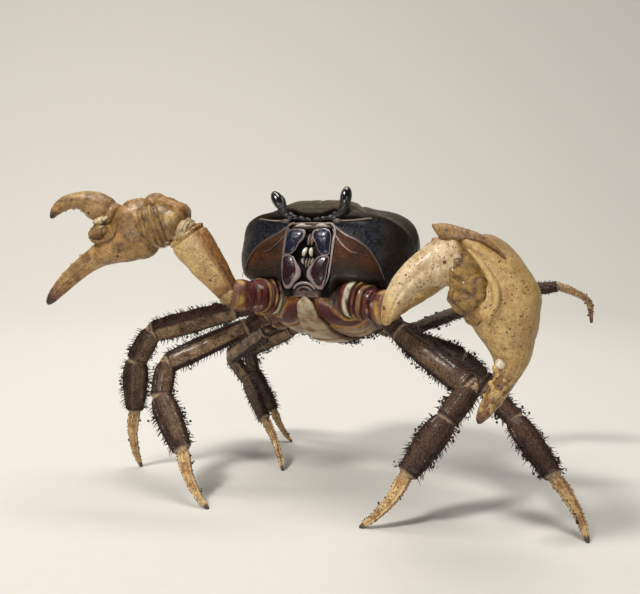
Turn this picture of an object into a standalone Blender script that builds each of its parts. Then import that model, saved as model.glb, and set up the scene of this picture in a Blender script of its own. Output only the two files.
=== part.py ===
"""Life-size brown land crab, standing tall on its walking legs with both claws raised.

Metres, +Z up. The crab faces -Y and its own left side is +X. The trunk is drawn in its own level
frame (millimetres, origin at the middle of the shell) and then pitched nose-up and lifted; every
limb is a chain of tapering shell segments whose headings are given as a yaw and a pitch.
"""
import math

import bmesh
import bpy
import numpy as np
from mathutils import Vector

MM = 0.001

# trunk
SHELL_HALF_WIDTH = 47.5
SHELL_PITCH = 24.0
SHELL_HEIGHT = 118.0
PIECE_GAP = 0.35
MITRE_CLEARANCE = 1.2
MOUTH_HALF_WIDTH = 13.9
MOUTH_DEPTH = 3.0
ORBIT_DENT = (5.4, 4.4, 1.6)
SHELL_STATIONS = (7.0, 13.5, 14.4, 17.0, 20.5, 26.0, 31.0, 36.0, 40.5, 44.0, 46.2, 47.2, 47.5)
SHELL_PROFILE = (
    (-38.6, 7.6), (-38.4, 11.0), (-36.2, 15.4), (-30.5, 20.0), (-21.0, 23.6), (-9.0, 25.4),
    (5.0, 25.2), (19.0, 22.2), (30.0, 16.0), (37.5, 7.6), (41.0, -1.0), (40.0, -6.5),
    (36.0, -14.0), (31.0, -20.0), (26.0, -23.5), (10.0, -23.5), (-8.0, -23.5), (-24.0, -23.5),
    (-26.5, -28.5), (-28.8, -32.0), (-32.0, -29.5), (-34.8, -20.0), (-36.6, -8.0), (-37.4, 3.0),
)
STERNUM_OUTLINE = (
    (-23.4, 15.0), (-22.6, 18.5), (-17.2, 28.4), (-8.0, 29.2), (3.0, 29.5), (15.5, 28.2),
    (26.0, 18.2), (28.5, 12.0),
)
STERNUM_BELLY = (-31.0, -32.0, -34.6, -36.4, -36.6, -35.4, -31.8, -29.4)
ABDOMEN_SPINE = (
    (41.9, -7.0, 13.0, 1.2), (38.8, -15.0, 14.5, 1.2), (34.6, -22.2, 15.0, 1.2),
    (30.9, -28.6, 14.5, 1.2), (25.4, -34.6, 13.0, 1.2), (14.0, -37.8, 10.5, 1.3),
    (1.0, -38.8, 8.2, 1.3), (-10.0, -37.9, 6.4, 1.2), (-18.5, -35.5, 3.4, 1.0),
)

EYE_LEAN = {"left": 18.6, "right": 21.4}

# walking legs: hip in the trunk frame, then half sizes and headings of every segment
LEG_HIPS = {2: (29.9, -11.0, -30.0), 3: (30.2, 0.0, -30.3), 4: (29.6, 11.0, -30.0), 5: (23.5, 21.0, -28.0)}
HIP_FACING = {2: 4.0, 3: -2.0, 4: -6.0, 5: -46.0}
LEG_LENGTHS = {2: (15, 49, 19, 30), 3: (15, 50, 20, 32), 4: (13, 49, 19, 30), 5: (12, 42, 18, 28)}
LEG_GIRTH = {2: 1.0, 3: 1.04, 4: 1.0, 5: 0.86}
RAISED_DACTYL = 34.0
LEG_POSE = {
    ("right", 2): ((20, -12), (22, -15), (10, -59), (-45, -73), (-80, -79)),
    ("right", 3): ((32, -30), (33, -24), (110, -52), (152, -46), (154, -46)),
    ("right", 4): ((0, -35), (-32, -26), (170, -46), (145, -42), (140, -44)),
    ("right", 5): ((-40, -35), (-19, -22), (-80, -60), (-150, -64), (-165, -60)),
    ("left", 2): ((10, -40), (18, -30), (135, -47), (140, -51), (150, -48)),
    ("left", 3): ((-5, -45), (0, -29), (20, -38), (35, -41), (45, -44)),
    ("left", 4): ((-20, -26), (-56, 13), (-40, 20), (-4, 9), (-46, -34)),
    ("left", 5): ((-45, -35), (-38, -20), (-42, -44), (-44, -52), (-44, -60)),
}

# claw arms: coxa, ischium, merus, carpus
ARM_HIP = (23.6, -21.9, -29.5)
ARM_FACING = 53.0
ARM_LENGTHS = {"right": (12, 12, 38, 18), "left": (13, 10, 43.5, 18)}
ARM_POSE = {
    "right": ((70, 2), (50, 5), (23, 54), (8, 16)),
    "left": ((20, -12), (30, -2), (18, 45), (12, 2)),
}
# claw plane: yaw and pitch of its long axis and the roll of its upper edge about that axis
CLAW_FRAME = {"right": (20, -17, 0), "left": (146, -58, 12)}
CLAW_SCALE = {"right": 1.0, "left": 0.94}
WRIST_REACH = 12.0
# rings that carry the left palm round from the front of its wrist block:
# along, up, back, turn of the section, half height, half thickness
CLAW_NECK = {
    "right": (),
    "left": (
        (-1.0, 4.0, 16.5, 90, 7.0, 6.2), (0.0, 3.4, 9.2, 52, 10.6, 7.0), (3.8, 2.6, 3.2, 20, 15.0, 9.2),
    ),
}
# palm and fixed finger: along, up, tilt of the section, half height, half thickness
PALM = {
    "right": (
        (0.4, -1.6, 0, 10.4, 7.4), (2.8, -1.4, 0, 13.8, 8.8), (8.0, -1.3, 0, 15.0, 9.4),
        (13.0, -2.4, -3, 12.6, 9.4), (18.0, -4.8, -6, 10.1, 8.8), (23.0, -6.2, -12, 8.2, 7.6),
        (30.0, -7.7, -18, 5.8, 5.8), (38.0, -9.6, -22, 4.8, 4.6), (45.0, -12.3, -25, 4.3, 4.1),
        (52.0, -15.6, -26, 3.8, 3.6), (58.0, -18.9, -28, 3.0, 2.9), (62.3, -21.7, -30, 1.9, 2.0),
        (64.3, -23.1, -30, 0.9, 1.0),
    ),
    "left": (
        (9.0, 1.8, 0, 20.0, 11.6), (14.0, -3.6, -2, 19.2, 12.6), (20.0, -9.0, -4, 16.4, 13.0),
        (26.0, -11.6, -6, 16.6, 12.6), (31.6, -14.0, -8, 15.4, 11.6), (36.2, -18.6, -12, 12.4, 9.6),
        (40.6, -23.8, -10, 9.2, 7.8), (45.6, -27.0, -4, 6.4, 6.4), (52.0, -28.4, 0, 5.2, 5.6),
        (60.0, -28.2, 6, 4.4, 4.8), (66.5, -27.6, 12, 3.1, 3.4), (70.8, -27.0, 16, 1.2, 1.3),
    ),
}
# moving finger: the same five numbers
DACTYL = {
    "right": (
        (16.4, 8.6, 50, 4.8, 5.2), (20.5, 12.8, 44, 6.6, 6.2), (26.0, 17.0, 32, 6.9, 5.8),
        (31.5, 20.9, 14, 4.5, 4.6), (37.0, 22.1, -4, 3.5, 3.8), (42.4, 21.2, -20, 3.0, 3.0),
        (46.0, 19.2, -38, 2.1, 2.2), (48.3, 17.0, -50, 0.9, 1.0),
    ),
    "left": (
        (16.6, 15.0, 41, 10.4, 8.6), (23.6, 20.8, 40, 9.4, 8.6), (31.0, 25.8, 22, 6.9, 7.4),
        (39.6, 28.2, 4, 5.4, 6.0), (47.6, 28.0, -8, 4.2, 4.6), (52.6, 27.2, -18, 2.9, 3.2),
        (56.2, 26.0, -24, 1.0, 1.1),
    ),
}

COLOURS = {
    "shell": (0.075, 0.068, 0.055), "belly": (0.42, 0.30, 0.17), "mouth": (0.10, 0.07, 0.10),
    "eye": (0.012, 0.011, 0.012), "stalk": (0.16, 0.12, 0.09), "claw": (0.62, 0.47, 0.25),
    "claw_base": (0.34, 0.20, 0.15), "leg": (0.20, 0.13, 0.10), "dactyl": (0.46, 0.31, 0.15),
}
ROUGHNESS = {"shell": 0.38, "mouth": 0.3, "eye": 0.12, "stalk": 0.35, "claw": 0.42}


def heading(side, yaw, pitch):
    """Unit direction pointing out to the crab's own side, turned forward by yaw, up by pitch."""
    yaw, pitch = math.radians(yaw), math.radians(pitch)
    out = 1.0 if side == "left" else -1.0
    flat = math.cos(pitch)
    return np.array((out * flat * math.cos(yaw), -flat * math.sin(yaw), math.sin(pitch)))


def trunk(points):
    """Trunk-frame millimetres to the standing pose: nose up, then lifted."""
    points = np.atleast_2d(np.array(points, float))
    pitch = math.radians(SHELL_PITCH)
    x, y, z = points.T
    forward = y * math.cos(pitch) + z * math.sin(pitch)
    up = -y * math.sin(pitch) + z * math.cos(pitch) + SHELL_HEIGHT
    return np.stack((x, forward, up), axis=1)


def unit(vector):
    return vector / np.linalg.norm(vector)


def paint(name, colour):
    """One Principled material for one shell piece."""
    material = bpy.data.materials.new(name)
    material.use_nodes = True
    shader = material.node_tree.nodes["Principled BSDF"]
    shader.inputs["Base Color"].default_value = (*COLOURS[colour], 1.0)
    shader.inputs["Roughness"].default_value = ROUGHNESS.get(colour, 0.55)
    return material


def skin(name, rings, colour):
    """Closed shell piece through a stack of rings, all with the same number of points."""
    bm = bmesh.new()
    loops = []
    for ring in rings:
        loops.append([bm.verts.new(Vector(point) * MM) for point in ring])
    count = len(loops[0])
    for lower, upper in zip(loops[:-1], loops[1:]):
        for k in range(count):
            j = (k + 1) % count
            bm.faces.new((lower[k], lower[j], upper[j], upper[k]))
    bm.faces.new(tuple(reversed(loops[0])))
    bm.faces.new(tuple(loops[-1]))
    bmesh.ops.recalc_face_normals(bm, faces=bm.faces)
    mesh = bpy.data.meshes.new(name)
    bm.to_mesh(mesh)
    bm.free()
    mesh.shade_smooth()
    mesh.set_sharp_from_angle(angle=math.radians(50))
    mesh.materials.append(paint(name, colour))
    piece = bpy.data.objects.new(name, mesh)
    bpy.context.scene.collection.objects.link(piece)
    return piece


def oval(centre, tall, wide, half_tall, half_wide, count, square=1.0):
    """Superellipse ring in the plane of two directions; square below one makes it boxier."""
    angles = np.arange(count) * math.tau / count + math.pi / count
    c, s = np.cos(angles), np.sin(angles)
    c = np.sign(c) * np.abs(c) ** square
    s = np.sign(s) * np.abs(s) ** square
    return centre + np.outer(c * half_tall, tall) + np.outer(s * half_wide, wide)


def onto_plane(ring, along, point, normal):
    """Slide a ring along its own axis until it lies in the given plane."""
    reach = (point - ring) @ normal / (along @ normal)
    return ring + np.outer(reach, along)


def keep_clear(ring, along, point, normal):
    """Slide the points of a ring inwards where they would crowd a slanted end."""
    short = np.maximum(MITRE_CLEARANCE - (ring - point) @ normal, 0.0) / (along @ normal)
    return ring + np.outer(short, along)


def chain(start, side, lengths, pose):
    """Joint positions of a limb, one heading per segment."""
    joints = [np.array(start, float)]
    for length, (yaw, pitch) in zip(lengths, pose):
        joints.append(joints[-1] + length * heading(side, yaw, pitch))
    return joints


def segment(name, path, sizes, broad, before, after, colour, count=10, square=0.86):
    """Limb segment along a bent path.

    sizes holds (place, half height, half width), place counting path points; before and after are
    the plane normals of its two ends, so neighbours meet on a shared plane with a thin gap.
    """
    path = [np.array(p, float) for p in path]
    headings = [unit(b - a) for a, b in zip(path[:-1], path[1:])]
    rings = []
    for place, half_tall, half_wide in sizes:
        k = min(int(place), len(headings) - 1)
        part = place - k
        centre = path[k] + (path[k + 1] - path[k]) * part
        along = headings[k]
        wide = unit(broad - along * (broad @ along))
        tall = np.cross(wide, along)
        ring = oval(centre, tall, wide, half_tall, half_wide, count, square)
        if part == 0.0 and 0 < k:
            ring = onto_plane(ring, along, path[k], unit(headings[k - 1] + along))
        rings.append(ring)
    half_gap = PIECE_GAP / 2.0
    if before is not None:
        rings[0] = onto_plane(rings[0], headings[0], path[0] + before * half_gap, before)
        rings[1] = keep_clear(rings[1], headings[0], path[0], before)
    if after is not None:
        rings[-1] = onto_plane(rings[-1], headings[-1], path[-1] - after * half_gap, after)
        rings[-2] = keep_clear(rings[-2], -headings[-1], path[-1], -after)
    return skin(name, rings, colour)


def shell_ring(x):
    """Outline of the shell across its middle, shrunk towards the rounded side of the shell."""
    u = abs(x) / SHELL_HALF_WIDTH
    top = max(1.0 - u ** 4.5, 0.0) ** 0.385
    low = max(1.0 - u ** 6.0, 0.0) ** 0.40
    front = max(1.0 - u ** 3.0, 0.0) ** 0.42
    back = max(1.0 - u ** 2.2, 0.0) ** 0.52
    chin = min(max((19.0 - abs(x)) / 4.6, 0.0), 1.0)
    inside_mouth = abs(x) < MOUTH_HALF_WIDTH
    orbit = 1.0 if 10.0 < abs(x) < 21.0 else 0.0
    ring = []
    for k, (y, z) in enumerate(SHELL_PROFILE):
        if 18 <= k <= 20:
            z = -23.5 + (z + 23.5) * chin
        if inside_mouth and k >= 20:
            y = y + MOUTH_DEPTH
        y = y + orbit * ORBIT_DENT[k] if k < len(ORBIT_DENT) else y
        y = -10.0 + (y + 10.0) * (front if y < -10.0 else back)
        z = z * (top if z > 0.0 else low)
        ring.append((x, y, z))
    return ring


def build_shell():
    """The one-piece back shell with the face below its front edge."""
    stations = [-x for x in reversed(SHELL_STATIONS)] + [0.0] + list(SHELL_STATIONS)
    end = SHELL_HALF_WIDTH - 0.1
    rings = []
    for x in stations:
        ring = np.array(shell_ring(min(max(x, -end), end)))
        ring[:, 0] = x
        rings.append(trunk(ring))
    return skin("carapace", rings, "shell")


def build_sternum():
    """Breast plate under the shell: a broad keel-less trough that carries all the hips."""
    rings = []
    for (y, half), belly in zip(STERNUM_OUTLINE, STERNUM_BELLY):
        top = -23.5 - PIECE_GAP
        edge = top - 0.55 * (top - belly)
        ring = [(half, y, top), (half, y, edge), (half * 0.8, y, belly + 1.2), (half * 0.4, y, belly)]
        ring += [(0.0, y, belly), (-half * 0.4, y, belly), (-half * 0.8, y, belly + 1.2)]
        ring += [(-half, y, edge), (-half, y, top), (0.0, y, top)]
        rings.append(trunk(ring))
    return skin("sternum", rings, "belly")


def build_abdomen():
    """Narrow folded tail: from the back edge of the shell under the belly to its pointed tip."""
    spine = np.array(ABDOMEN_SPINE)
    rings = []
    for k, (y, z, half, thick) in enumerate(spine):
        ahead = spine[min(k + 1, len(spine) - 1), :2] - spine[max(k - 1, 0), :2]
        ahead = ahead / np.linalg.norm(ahead)
        out = np.array((ahead[1], -ahead[0]))
        if out @ (y, z) < 0.0:
            out = -out
        ring = []
        for across, lift in ((-1.0, -0.7), (-0.6, 1.0), (0.0, 1.15), (0.6, 1.0), (1.0, -0.7), (0.0, -1.0)):
            ring.append((across * half, y + out[0] * lift * thick, z + out[1] * lift * thick))
        rings.append(trunk(ring))
    return skin("abdomen", rings, "belly")


def build_mouthpart(side):
    """Outer jaw-leg of one side: a two-plate door that closes the mouth frame."""
    out = 1.0 if side == "left" else -1.0
    rings = []
    for y, z, inner, outer in (
            (-35.6, 2.4, 1.6, 12.2), (-37.8, 1.4, 1.2, 12.9), (-38.1, -6.0, 1.0, 13.2),
            (-37.0, -12.5, 1.6, 13.2), (-37.4, -14.0, 2.0, 13.1), (-36.4, -21.0, 0.9, 12.4),
            (-34.6, -26.6, 0.5, 11.2), (-32.4, -29.6, 1.2, 9.6)):
        back = np.interp(z, (-29.5, -20.0, -8.0, 3.0), (-29.0, -31.8, -33.6, -34.4)) - 0.35
        middle = 0.5 * (inner + outer)
        ring = ((inner, back, z), (inner, y + 0.7, z), (middle, y - 0.6, z))
        ring += ((outer, y + 0.7, z), (outer, back, z), (middle, back, z))
        rings.append(trunk([(out * x, py, pz) for x, py, pz in ring]))
    return skin(f"maxilliped_{side}", rings, "mouth")


def build_eye(side):
    """Upright stalk rising out of the orbit, and the long oval eye on its end."""
    out = 1.0 if side == "left" else -1.0
    foot = trunk((out * 15.4, -37.6, 9.6))[0]
    head = trunk((out * 17.0, -39.4, 12.6))[0]
    rise = unit(trunk((out * EYE_LEAN[side], -40.0, 23.0))[0] - head)
    wide = unit(np.cross(rise, (0.0, 1.0, 0.0)))
    tall = np.cross(wide, rise)
    lean = unit(head - foot)
    rings = []
    for part, radius in ((-0.02, 2.4), (0.3, 2.9), (0.7, 2.5), (0.97, 2.1)):
        rings.append(oval(foot + (head - foot) * part, np.cross(wide, lean), wide, radius, radius, 8))
    skin(f"eyestalk_{side}", rings, "stalk")
    rings = []
    for rise_mm, radius in ((0.55, 1.5), (1.2, 2.2), (3.2, 2.75), (5.6, 2.8), (7.8, 2.2), (9.0, 1.2)):
        rings.append(oval(head + rise * rise_mm, tall, wide, radius, radius * 0.9, 8))
    skin(f"eye_{side}", rings, "eye")


def build_antenna(side):
    """Short outer feeler lying along the lower rim of the orbit."""
    route = ((11.6, -39.6, 4.6), (15.5, -40.4, 5.2), (20.5, -39.9, 6.2), (26.5, -37.8, 8.2))
    path = [trunk(point)[0] for point in route]
    if side == "right":
        path = [p * (-1.0, 1.0, 1.0) for p in path]
    sizes = ((0, 1.3, 1.3), (1, 1.1, 1.1), (2, 0.7, 0.7), (3, 0.4, 0.4))
    segment(f"antenna_{side}", path, sizes, np.array((0.0, 0.0, 1.0)), None, None, "stalk", 6, 1.0)


def build_leg(side, number):
    """Walking leg: hip and thigh in one bent piece, knee, shin, and the pointed toe."""
    hip = np.array(LEG_HIPS[number])
    if side == "right":
        hip[0] = -hip[0]
    pose = LEG_POSE[side, number]
    joints = chain(trunk(hip)[0], side, LEG_LENGTHS[number], pose)
    last = heading(side, *pose[4])
    raised = (side, number) == ("left", 4)
    reach = RAISED_DACTYL if raised else joints[-1][2] / -last[2]
    joints.append(joints[-1] + last * reach)
    thigh = unit(joints[2] - joints[1])
    shin = unit(joints[4] - joints[3])
    broad = unit(np.cross(thigh, shin))
    g = LEG_GIRTH[number]
    pitch = math.radians(SHELL_PITCH)
    facing = heading(side, HIP_FACING[number], 0.0)
    facing = np.array((facing[0], facing[1] * math.cos(pitch), -facing[1] * math.sin(pitch)))
    headings = [unit(b - a) for a, b in zip(joints[:-1], joints[1:])]
    knee = unit(headings[1] + headings[2])
    wrist = unit(headings[2] + headings[3])
    ankle = unit(headings[3] + headings[4])
    base = f"leg_{side}_{number}"
    sizes = (
        (0, 4.7, 4.3), (0.5, 5.2, 4.4), (1, 4.7, 3.9), (1.14, 5.2, 3.4), (1.5, 6.1, 3.4), (1.9, 5.8, 3.5),
        (2, 4.7, 3.1),
    )
    sizes = [(t, a * g, b * g) for t, a, b in sizes]
    segment(f"{base}_merus", joints[0:3], sizes, broad, facing, knee, "leg")
    sizes = ((0, 4.5, 3.0), (0.14, 5.2, 3.4), (0.6, 5.7, 3.4), (1, 5.2, 3.0))
    sizes = [(t, a * g, b * g) for t, a, b in sizes]
    segment(f"{base}_carpus", joints[2:4], sizes, broad, knee, wrist, "leg")
    sizes = ((0, 5.2, 3.0), (0.12, 6.1, 3.3), (0.5, 6.2, 3.2), (0.86, 5.0, 3.0), (1, 3.9, 2.7))
    sizes = [(t, a * g, b * g) for t, a, b in sizes]
    segment(f"{base}_propodus", joints[3:5], sizes, broad, wrist, ankle, "leg")
    tall = np.cross(unit(broad - last * (broad @ last)), last)
    bow = tall * (reach * 0.07)
    if (tall @ shin) < 0.0:
        bow = -bow
    ankle_point, tip = joints[4:]
    toe = [ankle_point, ankle_point + last * reach * 0.35 + bow, ankle_point + last * reach * 0.7 + bow * 0.9, tip]
    sizes = ((0, 3.1, 2.4), (0.4, 3.3, 2.4), (1, 2.7, 2.0), (2, 1.9, 1.5), (3, 1.0, 0.9))
    sizes = [(t, a * g, b * g) for t, a, b in sizes]
    floor = None if raised else np.array((0.0, 0.0, -1.0))
    if not raised:
        toe[3] = toe[3] - floor * -PIECE_GAP / 2.0
    segment(f"{base}_dactyl", toe, sizes, broad, ankle, floor, "dactyl")


def claw_axes(side):
    """Along, up and across directions of one claw."""
    yaw, pitch, roll = CLAW_FRAME[side]
    along = heading(side, yaw, pitch)
    up = unit(np.array((0.0, 0.0, 1.0)) - along * along[2])
    across = np.cross(along, up)
    roll = math.radians(roll)
    turned_up = up * math.cos(roll) + across * math.sin(roll)
    return along, turned_up, across * math.cos(roll) - up * math.sin(roll)


def claw_rings(origin, side, neck, stations, count):
    """Rings of a claw piece: the turning neck first, then its in-plane stations."""
    along, up, across = np.array(claw_axes(side))
    size = CLAW_SCALE[side]
    rings = []
    for a, b, c, turn, half_tall, half_wide in neck:
        turn = math.radians(turn)
        wide = across * math.cos(turn) + along * math.sin(turn)
        centre = origin + (along * a + up * b + across * c) * size
        rings.append(oval(centre, up, wide, half_tall * size, half_wide * size, count, 0.88))
    for a, b, tilt, half_tall, half_wide in stations:
        tilt = math.radians(tilt)
        tall = up * math.cos(tilt) - along * math.sin(tilt)
        centre = origin + (along * a + up * b) * size
        rings.append(oval(centre, tall, across, half_tall * size, half_wide * size, count, 0.88))
    return rings


def build_arm(side):
    """Claw arm: hip, upper arm, wrist block, palm with its fixed finger, and the moving finger."""
    hip = np.array(ARM_HIP)
    if side == "right":
        hip[0] = -hip[0]
    joints = chain(trunk(hip)[0], side, ARM_LENGTHS[side], ARM_POSE[side])
    headings = [unit(b - a) for a, b in zip(joints[:-1], joints[1:])]
    along, up, across = claw_axes(side)
    neck = CLAW_NECK[side]
    origin = joints[4]
    wrist = unit(headings[3] + along)
    if neck:
        wrist = -across
        joints.append(joints[4] - across * WRIST_REACH)
        origin = joints[5] - (along * neck[0][0] + up * neck[0][1] + across * neck[0][2]) * CLAW_SCALE[side]
    broad = unit(np.cross(headings[2], np.array((0.0, 0.0, 1.0))))
    pitch = math.radians(SHELL_PITCH)
    facing = heading(side, ARM_FACING, 0.0)
    facing = np.array((facing[0], facing[1] * math.cos(pitch), -facing[1] * math.sin(pitch)))
    shoulder = unit(headings[1] + headings[2])
    elbow = unit(headings[2] + headings[3])
    big = 1.0 if side == "left" else 0.9
    sizes = ((0, 5.4, 5.2), (0.5, 6.4, 5.8), (1, 6.0, 5.6), (1.5, 6.6, 5.8), (2, 6.2, 5.4))
    segment(f"cheliped_{side}_base", joints[0:3], sizes, broad, facing, shoulder, "claw_base", 12)
    sizes = ((0, 6.4, 5.6), (0.12, 7.6, 6.4), (0.45, 9.0, 7.2), (0.85, 10.0, 8.0), (1, 8.2, 7.0))
    sizes = [(t, a * big, b * big) for t, a, b in sizes]
    segment(f"cheliped_{side}_merus", joints[2:4], sizes, broad, shoulder, elbow, "claw", 12)
    sizes = [(0, 8.8, 7.6), (0.15, 11.6, 9.6), (0.6, 12.4, 10.0), (0.88, 11.6, 9.2), (1, 10.2, 8.0)]
    if neck:
        sizes = [
            (0, 7.6, 7.0), (0.15, 8.8, 8.2), (0.6, 8.8, 8.4), (1, 8.2, 8.0), (1.6, 7.8, 7.6), (2, 6.8, 6.2),
        ]
    sizes = [(t, a * big, b * big) for t, a, b in sizes]
    segment(f"cheliped_{side}_carpus", joints[3:], sizes, broad, elbow, wrist, "claw", 12)
    palm = claw_rings(origin, side, neck, PALM[side], 14)
    if not neck:
        palm[0] = onto_plane(palm[0], along, origin, wrist)
    palm[0] = palm[0] + wrist * PIECE_GAP / 2.0
    skin(f"cheliped_{side}_palm", palm, "claw")
    skin(f"cheliped_{side}_dactyl", claw_rings(origin, side, (), DACTYL[side], 12), "claw")


def main():
    for old in list(bpy.data.objects):
        bpy.data.objects.remove(old)
    build_shell()
    build_sternum()
    build_abdomen()
    for side in ("left", "right"):
        build_mouthpart(side)
        build_eye(side)
        build_antenna(side)
        build_arm(side)
        for number in (2, 3, 4, 5):
            build_leg(side, number)
    low = np.full(3, np.inf)
    high = np.full(3, -np.inf)
    for piece in bpy.data.objects:
        points = np.array([v.co for v in piece.data.vertices])
        low = np.minimum(low, points.min(axis=0))
        high = np.maximum(high, points.max(axis=0))
    centre = Vector(((low[0] + high[0]) / 2.0, (low[1] + high[1]) / 2.0, low[2]))
    for piece in bpy.data.objects:
        for vertex in piece.data.vertices:
            vertex.co -= centre


main()
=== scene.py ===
"""Looks of a life-size brown land crab that stands with both claws raised.

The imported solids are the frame. Every shell plate is drawn again as a fine surface from the same
sizes and headings, in millimetres: the trunk in its own level frame, the limbs as lofts along
their joints. Colours come from masks that are worked out with each surface, broken up by noise.
"""

import math

import bpy
import numpy as np
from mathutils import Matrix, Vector


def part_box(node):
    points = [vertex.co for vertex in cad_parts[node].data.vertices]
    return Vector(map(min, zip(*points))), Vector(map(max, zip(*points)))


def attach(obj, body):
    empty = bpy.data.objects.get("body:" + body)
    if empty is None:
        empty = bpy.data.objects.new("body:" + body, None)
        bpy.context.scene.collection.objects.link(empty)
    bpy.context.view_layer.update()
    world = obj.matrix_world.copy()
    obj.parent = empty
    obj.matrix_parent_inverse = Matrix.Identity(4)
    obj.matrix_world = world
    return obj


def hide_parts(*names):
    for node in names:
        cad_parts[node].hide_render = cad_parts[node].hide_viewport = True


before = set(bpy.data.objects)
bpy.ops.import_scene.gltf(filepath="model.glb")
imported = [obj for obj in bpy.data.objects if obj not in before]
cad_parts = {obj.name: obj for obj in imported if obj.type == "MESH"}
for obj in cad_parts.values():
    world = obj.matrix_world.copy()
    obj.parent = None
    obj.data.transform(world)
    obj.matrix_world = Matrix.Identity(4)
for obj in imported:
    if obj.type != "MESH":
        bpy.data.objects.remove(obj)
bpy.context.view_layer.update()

bl_info = {
    "name": "Brown Land Crab",
    "version": (1, 0, 0),
    "blender": (4, 5, 0),
    "location": "View3D > Sidebar > Crab",
    "description": "Builds the shell plates, bristles and stage of a life-size land crab",
    "category": "Add Mesh",
}

MM = 0.001
SIDES = ("left", "right")

# camera: millimetres and degrees
CAMERA_AIM = (-10.5, 4, 98)
CAMERA_TURN = 23
CAMERA_RISE = 5
CAMERA_DISTANCE = 405
CAMERA_LENS = 42.75

# trunk, in its own level frame: x to the crab's left, y to its back, z up, middle of the shell at 0
HALF_WIDTH = 47.5
SHELL_PITCH = 24
SHELL_HEIGHT = 118
SHELL_FLOOR = -23.5
MOUTH_HALF_WIDTH = 12.6
SHELL_PROFILE = (
    (-38.6, 7.6), (-38.4, 11), (-36.2, 15.4), (-30.5, 20), (-21, 23.6), (-9, 25.4),
    (5, 25.2), (19, 22.2), (30, 16), (37.5, 7.6), (41, -1), (40, -6.5),
    (36, -14), (31, -20), (26, -23.5), (10, -23.5), (-8, -23.5), (-24, -23.5),
    (-26.5, -28.5), (-28.8, -32), (-32, -29.5), (-34.8, -20), (-36.6, -8), (-37.4, 3),
)
# corners of the profile at the chin and over the mouth, and those where its rows change their spacing
CHIN = slice(18, 21)
MOUTH = slice(20, None)
SPACING_STOPS = [3, 12, 17, 21]
# y of the shell's broadest part, towards which its depth shrinks at the sides
BROADEST = -10


# ---------------------------------------------------------------- numbers

def clamp(value):
    """The value held between 0 and 1."""
    return np.clip(value, 0, 1)


def ramp(low, high, value):
    """Zero below low, one above high, and an S-shaped ramp between."""
    t = clamp((value - low) / (high - low))
    return t * t * (3 - 2 * t)


def bell(distance, width):
    """One at zero distance, fading like a bell curve of this width."""
    return np.exp(-(distance / width) ** 2)


def unit(vectors):
    """Vectors of length one, along the last axis."""
    vectors = np.asarray(vectors, float)
    return vectors / np.maximum(np.linalg.norm(vectors, axis=-1, keepdims=True), 1e-9)


def flow(places, values, at):
    """Smooth curve through values at rising places: cubic pieces, each slope the mean of its neighbours'."""
    places, values, at = (np.asarray(v, float) for v in (places, values, at))
    tail = (1,) * (values.ndim - 1)
    gap = np.diff(places).reshape(-1, *tail)
    rise = np.diff(values, axis=0) / gap
    inner = (rise[:-1] * gap[1:] + rise[1:] * gap[:-1]) / (gap[1:] + gap[:-1])
    slope = np.concatenate((rise[:1], inner, rise[-1:]))
    k = np.clip(np.searchsorted(places, at, side="right") - 1, 0, len(places) - 2)
    width = gap[k]
    t = ((at - places[k]).reshape(-1, *tail)) / width
    t2, t3 = t * t, t * t * t
    start = values[k] * (2 * t3 - 3 * t2 + 1) + slope[k] * width * (t3 - 2 * t2 + t)
    return start + values[k + 1] * (3 * t2 - 2 * t3) + slope[k + 1] * width * (t3 - t2)


def lengths(points, whole=None):
    """Distance along a line of points, from 0 at its first; whole scales it to end there."""
    steps = np.linalg.norm(np.diff(np.asarray(points, float), axis=0), axis=-1)
    run = np.concatenate(((0,), np.cumsum(steps)))
    return run * (whole / run[-1]) if whole else run


def chance(cell, seed):
    """Even random number from 0 to 1 for each whole-numbered cell: its coordinates hashed."""
    n = cell[..., 0] * 374761393 + cell[..., 1] * 668265263 + cell[..., 2] * 1274126177
    n = (n + seed * 144269504) & 0x7FFFFFFF
    n = ((n ^ (n >> 13)) * 1103515245) & 0x7FFFFFFF
    n = ((n ^ (n >> 15)) * 12820163) & 0x7FFFFFFF
    return ((n >> 7) & 0xFFFF) / 65535


def ripple(points, size, seed):
    """Soft random height from -1 to 1: cell corners' random values, blended by S-shaped weights."""
    scaled = points / size
    cell = np.floor(scaled).astype(np.int64)
    part = ramp(0, 1, scaled - cell)
    total = 0
    for corner in np.ndindex(2, 2, 2):
        weight = np.prod(np.where(np.array(corner) == 1, part, 1 - part), axis=-1)
        total = total + weight * chance(cell + np.array(corner), seed)
    return total * 2 - 1


def clouds(points, size, seed, low, high):
    """Soft-edged random patches from 0 to 1: ripples below low are 0, above high 1."""
    return ramp(low, high, ripple(points, size, seed))


def granules(points, size, seed, share=1):
    """Rounded grains: one jittered seed in each cell, and a dome over it that ends where its grain does."""
    scaled = points / size
    cell = np.floor(scaled).astype(np.int64)
    best = np.zeros(points.shape[:-1])
    for step in np.ndindex(3, 3, 3):
        near = cell + (np.array(step) - 1)
        offset = np.stack([chance(near, seed + k) for k in (1, 2, 3)], axis=-1)
        away = np.linalg.norm(near + offset - scaled, axis=-1)
        radius = 0.28 + 0.3 * chance(near, seed + 4)
        there = chance(near, seed + 5) < share
        best = np.maximum(best, np.maximum(1 - (away / radius) ** 2, 0) * radius * there)
    return best


# ---------------------------------------------------------------- frames

def raw_trunk(points):
    """Trunk-frame millimetres pitched nose-up and lifted to standing height."""
    points = np.asarray(points, float)
    pitch = math.radians(SHELL_PITCH)
    x, y, z = points[..., 0], points[..., 1], points[..., 2]
    forward = y * math.cos(pitch) + z * math.sin(pitch)
    up = -y * math.sin(pitch) + z * math.cos(pitch) + SHELL_HEIGHT
    return np.stack((x, forward, up), axis=-1)


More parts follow.
